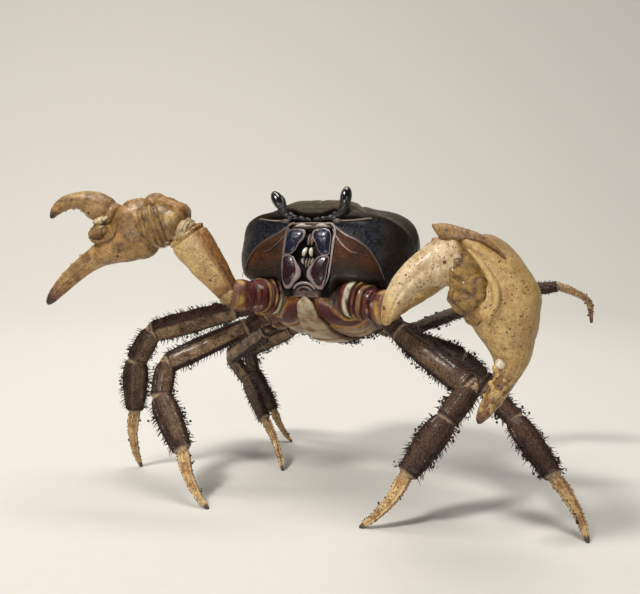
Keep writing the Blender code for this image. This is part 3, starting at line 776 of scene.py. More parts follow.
def sculpt_shell(points):
    """Raises rims and grains and sinks sockets, grooves and the space under the front, along the normals."""
    y, z = points[..., 1], points[..., 2]
    away = np.abs(points[..., 0])
    normal = surface_normals(points)
    ahead, upward = -normal[..., 1], normal[..., 2]
    front = ramp(0.25, 0.7, ahead)
    blue, rust = face_zones(away, z, ahead)
    orbit = orbit_shape(away, z) * ramp(-20, -26, y)
    brow = 8.3 + 2.7 * ramp(4, 13, away)
    under = ramp(14, 11, away) * ramp(-22, -28, y) * ramp(0.5, -0.9, z - brow) * ramp(4.4, 5.4, z)
    rim = bell(z - (11.4 + 0.02 * away), 0.9) * ramp(7, 11, away) * ramp(35, 30, away) * front
    lip = bell(z - brow - 0.9, 1) * ramp(13.5, 10, away) * ramp(-26, -33, y)
    lower_rim = bell(z - (4.4 + 0.13 * (away - 12)), 0.55) * ramp(12, 15, away)
    lower_rim = lower_rim * ramp(33, 29, away) * front
    crest = bell(z - np.interp(away, *np.transpose(OUTER_CREST)), 0.75)
    crest = crest * ramp(12, 14, away) * ramp(39.5, 37, away) * front
    on_back = ramp(0.25, 0.7, upward)
    cut = bell(away - np.interp(y, *np.transpose(BACK_GROOVE)), 2.2) * on_back
    cut = cut * ramp(33, 22, y) * ramp(-31, -24, y)
    bar = bell(y - 5, 2) * ramp(9, 5, away) * on_back
    notch = bell(away, 1.6) * ramp(-14, -24, y) * on_back
    rear_rim = bell(z - (-2 - 0.004 * away ** 2), 1.3) * ramp(20, 30, y) * ramp(36, 26, away)
    swell = 0.7 * bell(away - 27, 12) * bell(y - 6, 20) * on_back
    coarse = ripple(points, 9, 3) * 0.25 + ripple(points, 3.2, 4) * 0.09
    grain = granules(points, 1, 11) * (0.13 + 0.22 * ramp(36, 44, away)) * front
    height = 0.28 * rim + 0.5 * lip + 0.5 * lower_rim + 0.42 * crest + 0.45 * rear_rim + swell
    height = height + coarse * (1 - 0.6 * front) + grain - 0.25 * rust - 0.9 * cut - 0.5 * bar - 0.55 * notch
    moved = points + normal * height[..., None]
    moved[..., 1] += ORBIT_DEPTH * orbit + 3.4 * under
    chin = ramp(-27.6, -29.2, z) * ramp(9, 5, away) * ramp(-14, -20, y)
    pale = np.maximum(0.5 * crest, 0.4 * lower_rim * ramp(0.35, 0.9, lower_rim)) * ramp(30, 14, away)
    # dark: painted shade in the mouth opening, the eye sockets and the space under the front.
    dark = ramp(MOUTH_HALF_WIDTH + 0.2, MOUTH_HALF_WIDTH - 0.6, away) * front * ramp(2, 0.6, z)
    dark = np.maximum(np.maximum(0.7 * orbit, under), dark) * (1 - chin)
    top = ramp(0.1, 0.7, upward) * (0.3 + 0.7 * ramp(31, 15, away))
    return moved, dict(blue=blue, rust=rust, pale=np.maximum(pale, 0.8 * chin), dark=dark, top=top,
                       grain=0.5 + 0.5 * rust)


def build_shell():
    """The back shell and the face below it, as one closed surface."""
    angle = np.linspace(-1, 1, 350)
    x = HALF_WIDTH * (0.45 * angle + 0.55 * np.sin(angle * math.pi / 2))
    x = np.clip(x, 0.02 - HALF_WIDTH, HALF_WIDTH - 0.02)
    outline = shell_outline(x, profile_shares((40, 78, 12, 22, 122)))
    moved, masks = sculpt_shell(np.swapaxes(outline, 0, 1))
    Pile().tube(trunk(moved), **masks).piece("carapace_shell", shell_material(), "shell", "carapace")


def on_face(x, z, proud=0):
    """Trunk-frame points on the front of the shell over (x, z), standing proud by this much."""
    x, z = (v.astype(float) for v in np.broadcast_arrays(x, z))
    u = np.abs(x) / HALF_WIDTH
    height = z / np.where(z > 0, falloff(u, 4.5, 0.385, 1e-4), falloff(u, 6, 0.40, 1e-4))
    y = flow((-29.5, -20, -8, 3, 7.6, 11, 15.4), (-32, -34.8, -36.6, -37.4, -38.6, -38.4, -36.2),
             np.clip(height, -29, 15).reshape(-1)).reshape(x.shape)
    y = BROADEST + (y - BROADEST) * falloff(u, 3, 0.42)
    outward = unit(np.stack((0.35 * x / HALF_WIDTH, np.full(x.shape, -1), np.zeros(x.shape)), axis=-1))
    return np.stack((x, y, z), axis=-1) + outward * np.asarray(proud, float)[..., None]


def pillow(outline, height, host, rings, under, crown):
    """Plate over a closed outline: a dome of this height that falls to its rim, closed below.

    Each ring is the outline shrunk towards its middle; the dome's height is 1 - r^crown.
    """
    middle = outline.mean(axis=0)
    r = np.sin(np.linspace(0.03, 1, rings) * math.pi / 2)
    lift = np.concatenate((height * (1 - r ** crown), np.full(rings, -under)))
    r = np.concatenate((r, r[::-1] * 0.97))[:, None]
    flat = middle + (outline - middle)[None] * r[..., None]
    facing = np.arange(2 * rings)[:, None] < rings
    return host(flat[..., 0], flat[..., 1], np.broadcast_to(lift[:, None], flat.shape[:2])), r, facing


def smooth_loop(corners, count):
    """Closed smooth outline through a few corners, evenly stepped."""
    turns = np.concatenate((corners[-2:], corners, corners[:3]))
    marks = lengths(turns)
    return flow(marks, turns, marks[2] + (marks[-3] - marks[2]) * np.arange(count) / count)


def build_face():
    """Crests beside the mouth, the pale bar above it, and the lobes and feelers under the front."""
    for side in SIDES:
        pile = Pile()
        for crest, proud, radii in (
                (OUTER_CREST, 0.25, (0.7, 0.6, 0.45, 0.4, 0.38, 0.34, 0.28, 0.2)),
                (INNER_CREST, 0.15, (0.36, 0.38, 0.34, 0.3, 0.28, 0.18)),
                (MOUTH_FRAME, 0.3, (0.5, 0.7, 0.75, 0.7, 0.65, 0.6, 0.55, 0.4))):
            line = mirrored(on_face(*np.transpose(crest), proud), side)
            rings = trunk(cord_rings(line, radii, squash=0.7))
            rings = raised(rings, 0.12 * ripple(rings, 1.1, 31))
            inward = ramp(22, 12, np.abs(rings[..., 0]))
            pile.tube(rings, white=0.45 * inward, dark=0.75 - 0.75 * inward)
        pile.piece(f"face_crests_{side}", ridge_material(), "shell")
    pile = Pile()
    x = np.linspace(-11.4, 11.4, 9)
    pile.cord(on_face(x, 4.4 - 0.002 * x ** 2, -1.2), (0.4, 0.55, 0.6, 0.6, 0.6, 0.6, 0.6, 0.55, 0.4),
              white=0.25, dark=0.2)
    pile.cord(on_face(np.linspace(-10.8, 10.8, 9), 2.9, -1.6), (0.9, 1.3, 1.5, 1.4, 1.2, 1.4, 1.5, 1.3, 0.9),
              dark=0.55)
    for side in ("right", "left"):
        pile.cord(on_face((2.6, 4.4, 6.4, 8.6), (2.7, 3.2, 3.2, 2.5), -0.35), (0.55, 0.95, 1, 0.5), side,
                  squash=0.8, white=1)
    pile.piece("mouth_bar", ridge_material(), "shell")
    for side in SIDES:
        pile = Pile()
        for x, z, depth, long, tall in ((2.4, 6.2, -1, 2, 1.15), (6, 6.5, -1, 2.3, 1.35),
                                        (9.8, 6.9, -0.8, 2.1, 1.5), (12.4, 6, -0.3, 1.6, 1.7),
                                        (12, 8.6, -0.6, 1.7, 1.3), (14.2, 7.6, 0.1, 1.5, 1.4)):
            line = on_face((x - long, x, x + long), (z - 0.5, z + 0.2, z + 0.1), depth)
            pile.cord(line, (tall * 0.7, tall, tall * 0.75), side, 14)
        pile.piece(f"antennule_{side}", stalk_material(), "stalk")
        pile = Pile()
        pile.cord(on_face((11.8, 13.8, 16.4), (4.6, 4.7, 5), 0.7), (1.1, 1.35, 0.9), side, 14, border=0.25)
        pile.cord(on_face((15.5, 20, 25, 30.5), (5, 5.2, 6, 7.3), 0.9), (0.42, 0.34, 0.3, 0.25), side, 8,
                  border=1)
        pile.piece(f"antenna_{side}_feeler", stalk_material(), "stalk", f"antenna_{side}")


# outlines of the two outer jaw plates of the crab's left side, in front view (x, z)
UPPER_JAW_PLATE = ((2.1, -0.5), (6.2, 0.6), (10.4, 0.1), (12, -3.4), (12.2, -8.8), (11.9, -12.6),
                   (8.8, -12.9), (6.2, -10.6), (4.4, -7), (2.2, -4.2))
LOWER_JAW_PLATE = ((11.8, -13.4), (12, -19.4), (11.4, -25.4), (9.9, -29.2), (7.4, -29.2), (4.6, -26.6),
                   (1.7, -23.4), (1.8, -20.8), (4.2, -17.2), (6.6, -14.2), (8.8, -13.2))
# jaw teeth: points of the middle line, radii, how brown they are
JAW_TEETH = (
    (((1.3, -34.9, -8.2), (1.6, -35.7, -9.8), (1.9, -35.8, -11.4), (2.2, -35.2, -12.8)),
     (0.6, 1.05, 1.1, 0.7), 0),
    (((2.8, -34, -13.4), (2.6, -34.3, -15), (2, -34.2, -16.6)), (0.6, 0.8, 0.5), 0.75),
    (((0.8, -33.6, -13), (0.8, -33.9, -15.6), (0.6, -33.8, -18.4)), (0.4, 0.6, 0.4), 0.95),
    (((0.8, -34.4, -0.5), (0.9, -34.9, -3.4), (1, -34.7, -6.6)), (0.8, 1, 0.7), 1),
)


def on_jaws(x, z, proud):
    """Trunk-frame points on the front of the jaw plates, which bulge 0.5 mm beyond the face."""
    y = flow((-32, -29.6, -26.6, -21, -13, -6, 1.4, 3),
             (-31.8, -32.6, -34.6, -36.2, -37.1, -37.9, -37.7, -37.2), z.reshape(-1)).reshape(z.shape)
    return np.stack((x, y - 0.5 * (1 - ((x - 6.8) / 6) ** 2) - proud, z), axis=-1)


def jaw_plate(name, outline, side, upper, border, height, *nodes):
    """One jaw plate: a shallow dish with a raised border; border says how wide it is all round."""
    loop = smooth_loop(outline, 96)
    grid, r, facing = pillow(loop, height, on_jaws, rings=22, under=0.8, crown=9)
    grid = mirrored(grid, side)
    wide = border(loop[:, 0], loop[:, 1])[None]
    rim = ramp(0, 0.45, (r - (1 - wide)) / np.maximum(wide, 0.02))
    step = 0.16 * rim - 0.22 * bell(r - (1 - wide), 0.05)
    dish = 0.3 * (1 - np.minimum(r / 0.8, 1) ** 2)
    grid[..., 1] -= np.where(facing, step + dish, 0)
    grid[..., 1] -= np.where(facing, ripple(grid, 0.9, 41) * 0.05, 0)
    pile = Pile().tube(trunk(grid), upper=upper, border=np.where(facing, rim, 1))
    pile.piece(f"maxilliped_{side}_{name}", mouth_material(), "mouth", *nodes)


def build_jaws():
    """Outer jaw legs: an upper and a lower plate on each side, the teeth behind, and the arch below."""
    for side in SIDES:
        jaw_plate("upper", UPPER_JAW_PLATE, side, 1, lambda x, z: 0.055 + 0.13 * ramp(6.5, 3, x), 0.75,
                  f"maxilliped_{side}")
        jaw_plate("lower", LOWER_JAW_PLATE, side, 0,
                  lambda x, z: 0.07 + 0.42 * ramp(8.5, 2.5, x) * bell(z + 22, 6.5) + 0.12 * ramp(-24, -29, z),
                  0.8)
        pile = Pile()
        for path, radii, worn in JAW_TEETH:
            pile.cord(path, radii, side, 14, border=worn)
        pile.piece(f"jaw_teeth_{side}", tooth_material(), "mouth")
    pile = Pile()
    for half, low, high, radius, white in ((5.6, -29.6, -26.4, 0.75, 0.5), (4.2, -30.6, -28.2, 0.6, 0)):
        turn = np.linspace(0.12, math.pi - 0.12, 11)
        z = low + (high - low) * np.sin(turn)
        y = np.interp(z, (-31, -26), (-31.4, -34.2))
        pile.cord(np.stack((half * np.cos(turn), y, z), axis=-1), np.full(11, radius), white=white, dark=0.25)
    pile.piece("chin_arch", ridge_material(), "belly")


# how far out each eye stalk's line ends
EYE_LEAN = {"left": 17.2, "right": 24}


def build_eyes():
    """Upright stalks out of the sockets, each with a long oval cornea in a thin collar on its outer face."""
    for side in SIDES:
        foot, head, end = trunk(mirrored(((14.6, -36.4, 8.6), (17, -39.4, 12.6), (EYE_LEAN[side], -40, 23)),
                                         side))
        rise = unit(end - head)
        outward = unit(np.cross(rise, (0, 1, 0)))
        outward = outward * np.sign(outward[0]) * (1 if side == "left" else -1)
        front = unit(np.cross(rise, outward))
        inner = head - outward * 0.9
        path = (foot, foot * 0.5 + head * 0.5 + (0, -0.4, 0), head, inner + rise * 3.2, inner + rise * 5.8,
                inner + rise * 8.2)
        rings = cord_rings(path, (3, 3, 2.6, 2.2, 1.8, 1), 28)
        stalk = Pile().tube(raised(rings, 0.16 * ripple(rings, 1.6, 51)))
        centre = head + rise * 4.4 + outward * 0.4 + (0, -0.9, 0)
        turn = (np.arange(25) * math.tau / 24)[:, None]
        loop = centre - outward * 0.55 + 5.2 * np.cos(turn) * rise + 2.9 * np.sin(turn) * front
        thick = np.full(25, 0.28)
        collar = rings_round(loop, unit(loop - centre), np.tile(outward, (25, 1)), thick, thick, 8)[0]
        stalk.tube(collar, border=0.1)
        stalk.piece(f"eyestalk_{side}_stem", stalk_material(), "stalk", f"eyestalk_{side}")
        cornea = ball(centre, (rise, outward, front), (5.6, 2.9, 3.1), rows=40, count=48, pole=0.02)
        Pile().tube(cornea).piece(f"eye_{side}_cornea", eye_material(), "eye", f"eye_{side}")


# ---------------------------------------------------------------- belly

# breast plate: y, half width, height of its lowest line
BREAST = (
    (-27, 9, -32.6), (-25, 15, -35.8), (-20.5, 24.5, -38.8), (-12, 29, -40.6), (0, 29.5, -41),
    (13, 28.2, -39), (24, 19.8, -34.8), (29, 10, -29.6),
)
BREAST_TOP = -23
# folded tail, from under the shell's rear edge to its tip: y, z, half width, half thickness
TAIL = (
    (41.9, -7, 13, 1.2), (38.8, -15, 14.5, 1.2), (34.6, -22.2, 15, 1.2), (30.9, -28.6, 14.5, 1.2),
    (25.4, -36.2, 13, 1.2), (14, -40.8, 10.5, 1.3), (2, -42.6, 8.8, 1.3), (-8, -42.6, 7.8, 1.2),
    (-17, -41.2, 7, 1.1), (-23.4, -39, 5.6, 1), (-26.8, -36.8, 5, 1), (-28.6, -34.4, 4.4, 0.9),
    (-29.4, -32.2, 3, 0.8),
)
# where one tail plate ends and the next begins, as shares of its length, and how pale each plate is
TAIL_SEAMS = (0, 0.15, 0.30, 0.45, 0.60, 0.76, 0.90, 1)
TAIL_PALE = (0, 0, 0.1, 0.2, 0.35, 0.6, 1)
# each breast plate's corners on one side, from the middle outwards and back (x, y)
BREAST_PLATES = (
    ((3.8, -27.4), (9, -26.6), (14.5, -22.8), (19.5, -16.2), (26.5, -11.6), (28.4, -8), (22, -7),
     (13.5, -9.5), (8.8, -13.5), (6.6, -19), (4.8, -24.4)),
    ((7.6, -11.4), (14, -7.8), (28.6, -5.6), (29.2, 1.6), (20, 2.6), (8.4, -2.4)),
    ((8.6, -1.2), (19, 3.6), (29.2, 2.8), (28.8, 9.4), (20, 10.6), (9.6, 6.2)),
    ((9.8, 7.4), (19.6, 11.6), (28.4, 10.6), (25.8, 17), (18, 17.6), (10.8, 13.6)),
    ((11.2, 14.8), (17.8, 18.6), (25, 18.2), (20.8, 23.4), (15.6, 24.4), (12.2, 20.8)),
)


def on_belly(x, y, proud):
    """Trunk-frame points on the breast plate: flat in the middle, rising with the fifth power of |x|."""
    marks = np.array(BREAST)
    half, low = np.moveaxis(flow(marks[:, 0], marks[:, 1:], np.clip(y, -27, 29).reshape(-1)), 1, 0)
    half, low = half.reshape(np.shape(y)), low.reshape(np.shape(y))
    edge = BREAST_TOP - 0.45 * (BREAST_TOP - low)
    z = low + (edge - low) * np.minimum(np.abs(x) / half, 1.15) ** 5
    return np.stack(np.broadcast_arrays(x, y, z - proud), axis=-1)


def on_tail(turn, close, share, proud):
    """Trunk-frame points on the folded tail, arched across, at each share of its length and half width."""
    marks = lengths(np.array(TAIL)[:, :2], 1)
    values = flow(marks, TAIL, share)
    ahead = flow(marks, TAIL, np.clip(share + 0.01, 0, 1.01)) - values
    out = unit(np.stack((ahead[:, 1], -ahead[:, 0]), axis=-1))
    out = out * np.sign((out * values[:, :2]).sum(axis=1, keepdims=True))
    half, thick = values[:, 2, None], values[:, 3, None]
    x = half * close[:, None] * turn
    arch = thick * (1 - 1.2 * np.minimum(np.abs(x) / half, 1.2) ** 3) + proud
    return np.concatenate((x[..., None], values[:, None, :2] + out[:, None] * arch[..., None]), axis=-1)


def build_breast():
    """Breast plate: a body that carries the hips, and five shallow plates on each side with seams between."""
    y = np.linspace(-27, 29, 90)
    half = flow(*np.transpose(BREAST)[:2], y)
    x = half[:, None] * np.linspace(-1, 1, 61) * 0.985
    y = np.broadcast_to(y[:, None], x.shape)
    upper = np.stack((x[:, ::-4], y[:, ::-4], np.full(x[:, ::-4].shape, BREAST_TOP)), axis=-1)
    body = Pile().tube(trunk(np.concatenate((on_belly(x, y, -0.35), upper), axis=1)), maroon=0.15, dark=0.75)
    body.piece("sternum_body", belly_material(), "belly", "sternum")
    for side in SIDES:
        pile = Pile()
        for number, corners in enumerate(BREAST_PLATES):
            grid, r, top = pillow(smooth_loop(corners, 72), 0.55, on_belly, rings=20, under=0.9, crown=5)
            x, y = grid[..., 0], grid[..., 1]
            edge = ramp(0.80, 0.97, r) * top
            masks = dict(maroon=0.5 * (1 - edge) * bell(x - 12, 5), yellow=0.8 * edge,
                         dark=0.6 * ramp(20, 30, x))
            if number == 0:
                outer = ramp(0.60, 0.86, r) * ramp(-0.3, 0.9, (x - 9) / 12 + (y + 18) / 14)
                masks = dict(maroon=1 - outer, yellow=np.maximum(outer, 0.5 * edge))
            grid[..., 2] -= np.where(top, ripple(grid, 2.2, 61) * 0.14 + 0.10 * bell(r - 0.9, 0.06), 0)
            pile.tube(trunk(mirrored(grid, side)), **masks)
        pile.piece(f"sternum_plates_{side}", belly_material(), "belly")


def build_tail():
    """Folded tail: seven arched plates, each tucked under the edge of the one before; the last is rounded."""
    pile = Pile()
    turn = np.linspace(-1, 1, 41)
    along = np.linspace(0, 1, 34)
    t, out = along[:, None], np.abs(turn)[None]
    for start, stop, pale in zip(TAIL_SEAMS, TAIL_SEAMS[1:], TAIL_PALE):
        share = np.linspace(start - 0.004, stop + 0.012, len(along))
        close = np.ones(len(along))
        if stop == 1:
            close = np.sqrt(np.maximum(1 - ramp(0.35, 1, along) ** 2.2, 0.02))
        rim = np.maximum(ramp(0.10, 0, t), ramp(0.88, 1, t)) * (0.75 if start else 0.375)
        lift = 0.35 + 0.5 * t ** 1.5 - rim + 0.20 * bell(t - 0.86, 0.07) - 0.5 * ramp(0.90, 1, out)
        upper = on_tail(turn, close, share, lift)
        upper[..., 2] += 0.16 * ripple(upper, 2.4, 71)
        lower = on_tail(turn[::-4], close, share, -1.3)
        brown = 0.35 * bell(t - 0.25, 0.25) * (1 - bell(turn, 0.55)) * (1 - pale)
        # seam: painted shade where each plate tucks under its neighbours and along its sides.
        seam = 0.9 * np.maximum(np.maximum(ramp(0.10, 0, t), ramp(0.92, 1, t)), ramp(0.90, 1, out))
        edge = np.tile(0.6 * bell(out - 0.84, 0.06), (len(along), 1))
        brown, seam, edge = (np.pad(v, ((0, 0), (0, lower.shape[1]))) for v in (brown, seam, edge))
        plate = trunk(np.concatenate((upper, lower), axis=1))
        pile.tube(plate, maroon=brown, yellow=edge, dark=seam, pale=pale)
    pile.piece("abdomen_plates", belly_material(), "belly", "abdomen")


def build_leg_bases(side):
    """Rounded leg bases beside the breast plate: maroon and tan, a golden outer lip behind a dark crease."""
    pile = Pile()
    for number in LEG_HIPS:
        hip, knee = leg_joints(side, number)[:2]
        along = unit(knee - hip)
        wide = unit(np.cross(along, (0, 0, 1)))
        grid = ball(hip + along * 2.5, (along, np.cross(wide, along), wide), (7.6, 6.2, 5.6), 0.4, 3, 181)
        reach = np.linspace(0, 1, len(grid))[:, None]
        pile.tube(grid, maroon=clamp(0.6 + 0.6 * ripple(grid, 3.6, 182)) * ramp(0.25, 0.45, reach),
                  yellow=0.8 * bell(reach - 0.22, 0.08), dark=0.9 * bell(reach - 0.36, 0.03))
    pile.piece(f"leg_bases_{side}", belly_material(), "belly")


def build_belly_crumbs():
    """Soil caught along the lower edge of the belly, in loose clusters."""
    rng = np.random.default_rng(790)
    pile = Pile()
    x = rng.uniform(-29, 29, 46)
    y = 21 - 0.012 * x ** 2 + rng.normal(0, 2.2, 46)
    for centre in trunk(on_belly(x, y, np.where(np.abs(x) < 13, 3.4, 0.8))):
        each = int(rng.integers(7, 18))
        spots = centre + rng.normal(0, 1, (each, 3)) * (1.6, 1.2, 0.8)
        scatter_crumbs(pile, spots, 0.2 + 0.5 * rng.uniform(0, 1, each) ** 2, rng)
    pile.piece("crumbs_belly", soil_material(), "belly")


# ---------------------------------------------------------------- limbs

# how far to each side of a joint its corner is rounded, as a share of a segment
CORNER = 0.16


def bent_line(path, places):
    """Points along a jointed line, its corners rounded by averaging a little way to each side."""
    path = np.asarray(path, float)

    def straight(at):
        """Points on the line itself."""
        k = np.clip(np.floor(at).astype(int), 0, len(path) - 2)
        return path[k] + (path[k + 1] - path[k]) * (at - k)[:, None]
    return (straight(places - CORNER) + 2 * straight(places) + straight(places + CORNER)) / 4


def eased(rows, share):
    """Steps from 0 to 1, this share of them eased so that they lie closer together at both ends."""
    t = np.linspace(0, 1, rows)
    return (1 - share) * t + share * (0.5 - 0.5 * np.cos(t * math.pi))


def limb_loft(path, sizes, broad, start, stop, caps, rows, count, power):
    """Rings along a jointed limb from one place to another, rounded off over the cap lengths at its ends.

    sizes holds places with the half height and half width there. Returns the grid, the place of
    each row and the angle of each column.
    """
    places = start + (stop - start) * eased(rows, 0.25)
    middle = bent_line(path, places)
    along = unit(np.gradient(middle, axis=0))
    wide = unit(broad - along * (along @ broad)[:, None])
    sizes = np.asarray(sizes, float)
    half = flow(sizes[:, 0], sizes[:, 1:], np.clip(places, sizes[0, 0], sizes[-1, 0]))
    run = lengths(middle)
    close = rounded(run / caps[0], 0.0004) * rounded((run[-1] - run) / caps[1], 0.0004)
    tall, across = half.T * close
    grid, angle = rings_round(middle, np.cross(wide, along), wide, tall, across, count, power)
    return grid, places[:, None], angle


def bands(value, *lines):
    """Sum of bell curves over a value: each one's middle, its width and its strength."""
    return sum(strength * bell(value - middle, width) for middle, width, strength in lines)


def creases(grid, size, seed, rib_count):
    """Painted shade for folded skin: thin wandering dark lines, and the valleys between ribs where it has
    them.
    """
    polar = np.linspace(0.03, math.pi - 0.03, len(grid))[:, None]
    lines = bell(ripple(grid, size, seed), 0.11) + 0.4 * bell(ripple(grid, size * 0.6, seed + 1), 0.1)
    return np.clip(lines + 0.4 * ramp(-0.2, -0.95, np.cos(polar * rib_count)), 0, 0.9)


def joint_axes(along, broad):
    """Axes of a joint's skin: along the limb, then its tall and its broad direction."""
    wide = unit(broad - along * (broad @ along))
    return along, np.cross(wide, along), wide


# ---------------------------------------------------------------- claw arms

ARM_HIP = (23.6, -21.9, -29.5)
ARM_LENGTHS = {"right": (12, 12, 38, 18), "left": (13, 10, 43.5, 18)}
ARM_POSE = {
    "right": ((70, 2), (50, 5), (23, 54), (8, 16)),
    "left": ((20, -12), (30, -2), (18, 45), (12, 2)),
}
# place along the piece, half height, half width
BASE_SIZES = ((-0.5, 9, 8.6), (0, 9.7, 9.3), (0.25, 9.5, 9), (0.5, 8.6, 8.2), (0.8, 8.1, 7.5),
              (1, 7.4, 7), (1.3, 7.3, 6.9), (1.7, 7.4, 7), (2, 6.6, 6.2), (2.2, 6, 5.6))
UPPER_ARM_SIZES = ((0, 5.6, 5.2), (0.12, 6.6, 6), (0.3, 8, 6.8), (0.6, 9.6, 7.6), (0.88, 10.4, 8),
                   (1, 9.4, 7.4))
ARM_GIRTH = 0.92
WRIST_SIZES = {
    "left": ((0, 6.2, 5.8), (0.15, 7.4, 7), (0.6, 7.6, 7.2), (1, 6.8, 6.6), (1.6, 6.4, 6.2), (2, 5.8, 5.4)),
    "right": ((0, 6.6, 6), (0.16, 9.4, 8.2), (0.45, 9.8, 8.6), (0.75, 9.6, 8.2), (1, 7.8, 6.6)),
}
WRIST_STOP = {"left": 2.02, "right": 0.98}
# how far the wrist block's middle line stands off the joints
WRIST_LIFT = {"left": 0, "right": ((0, 0, 2.8), (0, 0, 5.4))}
# the wrist's own skin: how far below the joint, its tall radius
WRIST_SKIN = {"left": (2.4, 6.6), "right": (0, 9.2)}
# yaw and pitch of the claw's long axis and the roll of its upper edge about that axis
CLAW_FRAME = {"right": (20, -17, 0), "left": (146, -58, 12)}
CLAW_SCALE = {"right": 1, "left": 0.94}
WRIST_REACH = 12
# rings that carry the left palm round from the front of its wrist block:
# along, up, across, turn of the section, half height, half thickness
CLAW_NECK = {
    "right": (),
    "left": ((4, 3, 16.5, 90, 6, 5.6), (4.4, 2.4, 9.2, 52, 9.4, 6.4), (6.6, 1.4, 3.2, 20, 14, 8.8)),
}
# the wrist joint in the left claw's own frame
CLAW_JOINT = (-1, 4, 16.5)
# palm and fixed finger: along, up, tilt of the section, half height, half thickness
PALM = {
    "right": (
        (-2.4, 0.8, 0, 9.6, 5), (-0.4, 0.2, 0, 12.2, 7.2), (2.8, -0.6, 0, 14, 8.8), (8, -1, 0, 15, 9.4),
        (13, -1.9, -3, 13.4, 9.4), (18, -4.6, -6, 10.4, 8.8), (23, -6.2, -12, 8.2, 7.6),
        (30, -7.7, -18, 5.8, 5.8), (38, -9.6, -22, 4.8, 4.6), (45, -12.3, -25, 4.3, 4.1),
        (52, -15.6, -26, 3.8, 3.6), (58, -18.9, -28, 3, 2.9), (62.3, -21.7, -30, 1.9, 2),
        (64.3, -23.1, -30, 0.9, 1),
    ),
    "left": (
        (9, 1.8, 0, 20, 11.6), (14, -3.6, -2, 19.2, 12.6), (20, -9, -4, 16.4, 13),
        (26, -11.6, -6, 16.6, 12.6), (31.6, -14, -8, 15.4, 11.6), (36.2, -18.6, -12, 12.4, 9.6),
        (40.6, -23.4, -10, 8.8, 7.6), (45.6, -26.2, -4, 5.8, 6), (52, -27.3, 0, 4.3, 4.8),
        (60, -27.3, 6, 3.6, 4), (66.5, -26.9, 12, 2.6, 2.9), (70.8, -26.8, 16, 1.1, 1.2),
    ),
}
# moving finger: the same five numbers
FINGER = {
    "right": (
        (14.2, 6.4, 54, 3.2, 3.6), (16.4, 8.6, 50, 5, 5.2), (20.5, 12.8, 44, 6.6, 6.2),
        (26, 17, 32, 6.9, 5.8),
        (31.5, 20.9, 14, 4.5, 4.6), (37, 22.1, -4, 3.5, 3.8), (42.4, 21.2, -20, 3, 3),
        (46, 19.2, -38, 2.1, 2.2), (48.3, 17, -50, 0.9, 1),
    ),
    "left": (
        (13.4, 12, 42, 7.4, 6), (16.6, 15, 41, 10.4, 8.6), (23.6, 20.8, 40, 9.4, 8.6),
        (31, 25.8, 22, 6.9, 7.4),
        (39.6, 28.2, 4, 5.4, 6), (47.6, 28, -8, 4.2, 4.6), (52.6, 27.2, -18, 2.9, 3.2),
        (56.2, 26, -24, 1, 1.1),
    ),
}
# teeth on each biting edge: places along the claw, radii
PALM_TEETH = {"right": ((31, 38, 44, 50), (0.9, 1.1, 0.9, 0.7)), "left": ((47.5, 54, 60), (1.5, 1.3, 1))}
FINGER_TEETH = {"right": ((31, 36, 41), (0.8, 0.9, 0.7)), "left": ((35, 42, 49), (1.2, 1.3, 0.9))}
# lobes of skin at the moving finger's hinge:
# middle in the claw's frame, radii, folds, ribs, rib count, how pale
HINGE_LOBES = {
    "right": (((24.6, 3.2, -1.6), (7.4, 4.6, 5.6), 0.25, 0.10, 16, 0),
              ((22.4, 8.2, -2.2), (5.4, 2.4, 5), 0.15, 0.1, 14, 1),
              ((-2, -2.4, -8), (8.4, 10.2, 5.4), 0.25, 0.38, 18, 0),
              ((-3.4, -9.4, -3), (6, 4.4, 5.6), 0.3, 0.1, 9, 0.8)),
    "left": (((25.6, 3.6, -4.6), (10, 9.6, 6.2), 1, 0.30, 9, 0),
             ((20, 11, -5.6), (8, 6.8, 5), 0.6, 0.2, 12, 0),
             ((31.5, -3, -3.6), (6, 6, 5.8), 0.9, 0.25, 11, 0)),
}
# upper plate of the left wrist in the claw's own frame: along, up, across, half height, half thickness
WRIST_PLATE = (
    (12.6, 28.2, -1, 3.1, 3.4), (11.2, 25.4, -2.4, 3.5, 4.2), (9, 19.4, -4, 3, 4.6),
    (7, 12.6, -6.4, 2, 4.4), (7.4, 6.2, -8.4, 1.2, 3.8), (8.6, 1.6, -9.4, 0.8, 2.6),
    (10.2, -1.6, -9.4, 0.4, 1.4),
)


def arm_joints(side):
    """Joints of a claw arm, the claw's origin and its along, up and across axes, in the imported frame."""
    joints = [trunk(mirrored(ARM_HIP, side))]
    for length, pose in zip(ARM_LENGTHS[side], ARM_POSE[side]):
        joints.append(joints[-1] + length * heading(side, *pose))
    yaw, pitch, roll = CLAW_FRAME[side]
    along = heading(side, yaw, pitch)
    level = unit(np.array((0, 0, 1)) - along * along[2])
    flat = np.cross(along, level)
    c, s = math.cos(math.radians(roll)), math.sin(math.radians(roll))
    axes = np.array((along, level * c + flat * s, flat * c - level * s))
    origin = joints[4]
    if CLAW_NECK[side]:
        joints.append(joints[4] - axes[2] * WRIST_REACH)
        origin = joints[5] - np.array(CLAW_JOINT) @ axes * CLAW_SCALE[side]
    return joints, origin, axes


def claw_point(side, a, b, c):
    """Points of the claw from its own along, up and across millimetres."""
    _, origin, axes = arm_joints(side)
    return origin + np.stack((a, b, c), axis=-1) @ axes * CLAW_SCALE[side]


